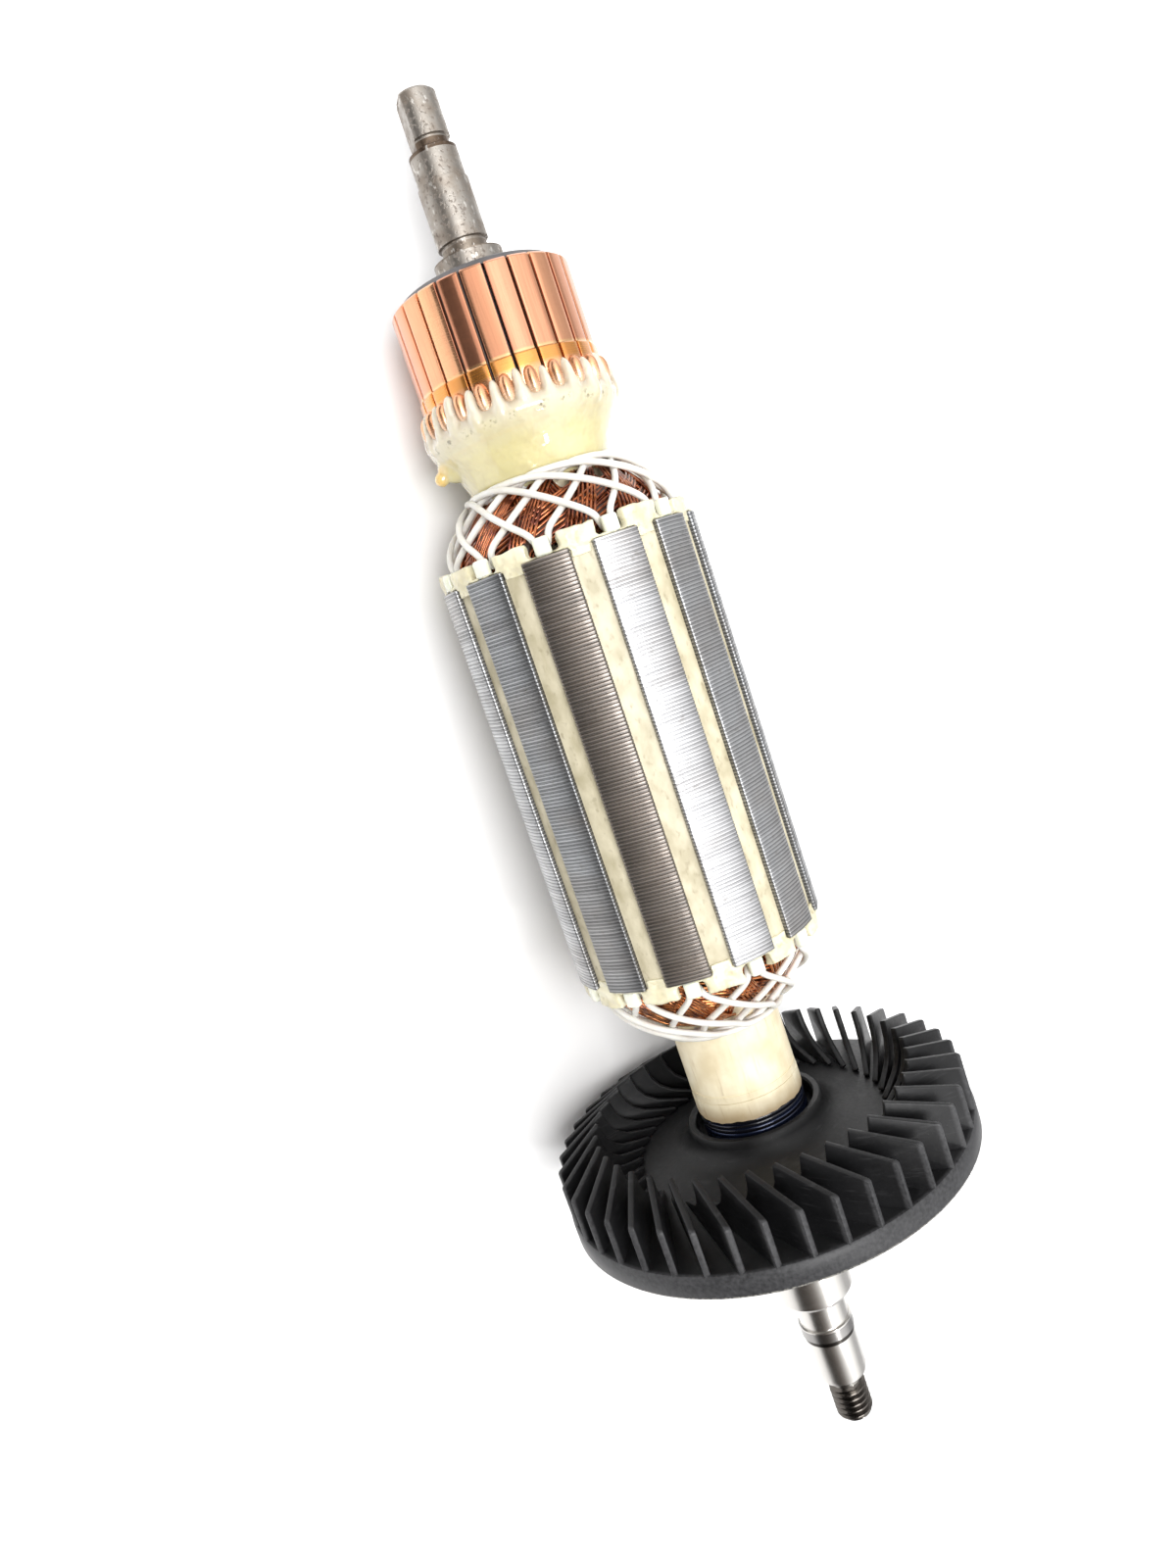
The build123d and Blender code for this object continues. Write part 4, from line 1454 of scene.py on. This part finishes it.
@dataclass
class Fan:
    """The moulded fan: hub ring, dished disc, rim, and leaning blades."""

    blades: int = 41
    first: float = 3.9
    seat: float = -22.1
    lean: float = 43.3
    inner: float = 24.0
    outer: float = 31.1
    thick: float = 0.9

    def body(self) -> Object:
        """The turned part."""
        bore = [(-22.1, 6.0), (-8.7, 6.0)]
        back = [(-8.7, 9.0), (-8.9, 9.2), (-19.0, 10.4), (-18.2, 20.0), (-17.0, 29.3), (-16.7, 30.1)]
        rim = [(-15.1, 30.1), (-15.1, 31.25), (-15.3, 31.4), (-18.0, 31.4), (-18.35, 31.15)]
        dish = [(-19.6, 24.0), (-20.6, 17.0), (-21.25, 13.5), (-21.8, 12.0), (-22.7, 11.05), (-23.6, 10.55)]
        lip = [(-24.35, 10.4), (-24.6, 10.15), (-24.6, 9.4), (-24.35, 9.15), (-22.1, 9.15)]
        outline = bore[1:] + back + rim + dish + lip + bore
        piece = Bench.lathe("fan_body", outline, 128)
        Bench.shaded(piece)
        return piece

    def blade(self) -> Object:
        """One blade, with its inner top corner at +Z."""
        lean = math.radians(self.lean)
        offset = self.inner * math.sin(lean)
        u_in = self.inner * math.cos(lean)
        u_out = math.sqrt(self.outer**2 - offset**2)
        ahead = Vector((0, math.sin(lean), math.cos(lean)))
        origin = Vector((0, -u_in * math.sin(lean), self.inner - u_in * math.cos(lean)))
        across = Vector((1, 0, 0)).cross(ahead)
        # Along the shaft from the seat, and outwards in the blade's own plane
        top = [(-5.9, u_in), (-5.75, u_in + 0.3), (-2.75, u_out - 0.25), (-2.45, u_out), (4.3, u_out)]
        foot = [(1.6, u_in - 8.0), (1.15, u_in - 8.0), (0.55, u_in - 6.0), (-0.45, u_in - 3.2)]
        sweep = [(-1.7, u_in - 1.5), (-3.3, u_in - 0.55), (-5.3, u_in - 0.12)]
        outline = [(self.seat + x, u) for x, u in top + foot + sweep]
        corners = [origin + ahead * u + Vector((x, 0, 0)) - across * self.thick / 2 for x, u in outline]
        piece = Bench.slab("fan_blades", corners, across * self.thick)
        Bench.eased(piece, 0.2)
        return piece

    def build(self, finishes: Finishes) -> None:
        """Makes the body and the crown of blades."""
        body = self.body()
        blades = Bench.turned(self.blade(), self.first)
        Bench.hold(blades, "EDIT")
        bpy.ops.mesh.select_all(action="SELECT")
        others = self.blades - 1
        bpy.ops.mesh.spin(
            steps=others,
            angle=2 * math.pi * others / self.blades,
            dupli=True,
            use_auto_merge=False,
            center=(0, 0, 0),
            axis=(1, 0, 0),
        )
        bpy.ops.object.mode_set(mode="OBJECT")
        Bench.dressed(body, finishes.fan, Slot.FAN, "fan")
        Bench.dressed(blades, finishes.fan, Slot.FAN, "fan")


# The studio


@dataclass
class Studio:
    """The pale floor, the soft light and the camera."""

    # Fitted to the photograph: place in millimetres, angles in degrees, focal length in millimetres
    eye: tuple[float, float, float] = (-103.335, -81.691, 134.143)
    aim: tuple[float, float, float] = (1.9593, -29.6393, 68.1863)
    lens: float = 25.29
    # Slope of the floor under the fan and the core, aim of the lamps, strength of the room
    tilt: float = 8.0
    target: tuple[float, float, float] = (-70.0, 0.0, 0.0)
    room: float = 0.9

    def camera(self) -> None:
        """Stands the camera where the photograph was taken from."""
        data = bpy.data.cameras.new("camera")
        data.lens = self.lens
        data.sensor_width = 36
        data.clip_start = 0.005
        data.clip_end = 20
        stand = bpy.data.objects.new("camera", data)
        stand.location = Vector(self.eye) * MM
        stand.rotation_euler = Euler([math.radians(a) for a in self.aim], "XYZ")
        bpy.context.scene.collection.objects.link(stand)
        bpy.context.scene.camera = stand

    def floor(self) -> None:
        """Lays the floor under the fan's rim and the core's edge."""
        Bench.clear()
        bpy.ops.mesh.primitive_grid_add(x_subdivisions=4, y_subdivisions=4, size=4.0, location=(0, 0, 0))
        piece = bpy.context.object
        piece.name = "floor"
        piece.data.transform(Matrix.Rotation(math.radians(self.tilt), 4, "Y"))
        Bench.moved(piece, CORE_START, 0, -18.45)
        kit = Recipe("white_table")
        cloud = kit.noise(3, 3)
        base = kit.mixed(cloud, (0.86, 0.86, 0.865), (0.88, 0.88, 0.88))
        normal = kit.bump(kit.noise(60, 2), 0.02, 0.2)
        piece.data.materials.append(kit.done(Base_Color=base, Roughness=0.35, Normal=normal))

    def lamp(self, name: str, place: Sequence[float], size: float, power: float) -> None:
        """A soft square lamp that faces the core.

        Args:
            name: The lamp's name.
            place: Where it stands, in millimetres.
            size: Its side in metres.
            power: Its power in watts.
        """
        data = bpy.data.lights.new(name, "AREA")
        data.size = size
        data.energy = power
        lamp = bpy.data.objects.new(name, data)
        lamp.location = Vector(place) * MM
        aim = Vector(self.target) * MM - lamp.location
        lamp.rotation_euler = aim.to_track_quat("-Z", "Y").to_euler()
        bpy.context.scene.collection.objects.link(lamp)

    def sky(self) -> None:
        """A white room with a bright window above and a dim wall on the left."""
        kit = Recipe("room", room=True)
        turn = kit.angle() + 0.5
        dim = (0.045, 0.038, 0.034)
        stops = [
            (0.0, (0.80, 0.80, 0.80)),
            (0.22, (0.55, 0.55, 0.56)),
            (0.265, dim),
            (0.345, (0.085, 0.072, 0.064)),
            (0.40, (0.24, 0.21, 0.19)),
            (0.465, (0.95, 0.94, 0.93)),
            (0.53, (2.0, 2.0, 2.0)),
            (0.60, (1.8, 1.8, 1.8)),
            (0.68, (0.70, 0.70, 0.71)),
            (1.0, (0.80, 0.80, 0.80)),
        ]
        seen = Signal(kit.tree, kit.node("ShaderNodeLightPath").outputs["Is Camera Ray"])
        walls = kit.mixed(seen, kit.ramp(turn, stops), (0.92, 0.92, 0.92))
        bpy.context.scene.world = kit.done(Color=walls, Strength=self.room)

    def build(self) -> None:
        """Sets up everything that isn't the armature."""
        self.camera()
        self.floor()
        self.sky()
        self.lamp("key", (-60, -210, 600), 0.34, 4.2)
        self.lamp("fill", (-420, -240, 520), 0.5, 1.0)
        self.lamp("spark", (202, -16, 320), 0.03, 0.2)
        bpy.context.scene.view_settings.view_transform = "Standard"


def main() -> None:
    """Builds the studio and the armature."""
    logging.basicConfig(level=logging.INFO, format="%(name)s %(message)s")
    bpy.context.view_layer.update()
    finishes = Finishes()
    Studio().build()
    parts = [Shaft(), Commutator(), ResinCollar(), Core(), Windings(), Insulators()]
    parts += [Lacing(Side.COMM, (10.3, 10.5), (11.1, 10.7)), Lacing(Side.DRIVE, (8.7, 11.6), (9.4, 11.9))]
    for part in (*parts, Ring(), Fan()):
        part.build(finishes)
    Bench.clear()


if __name__ == "__main__":
    main()
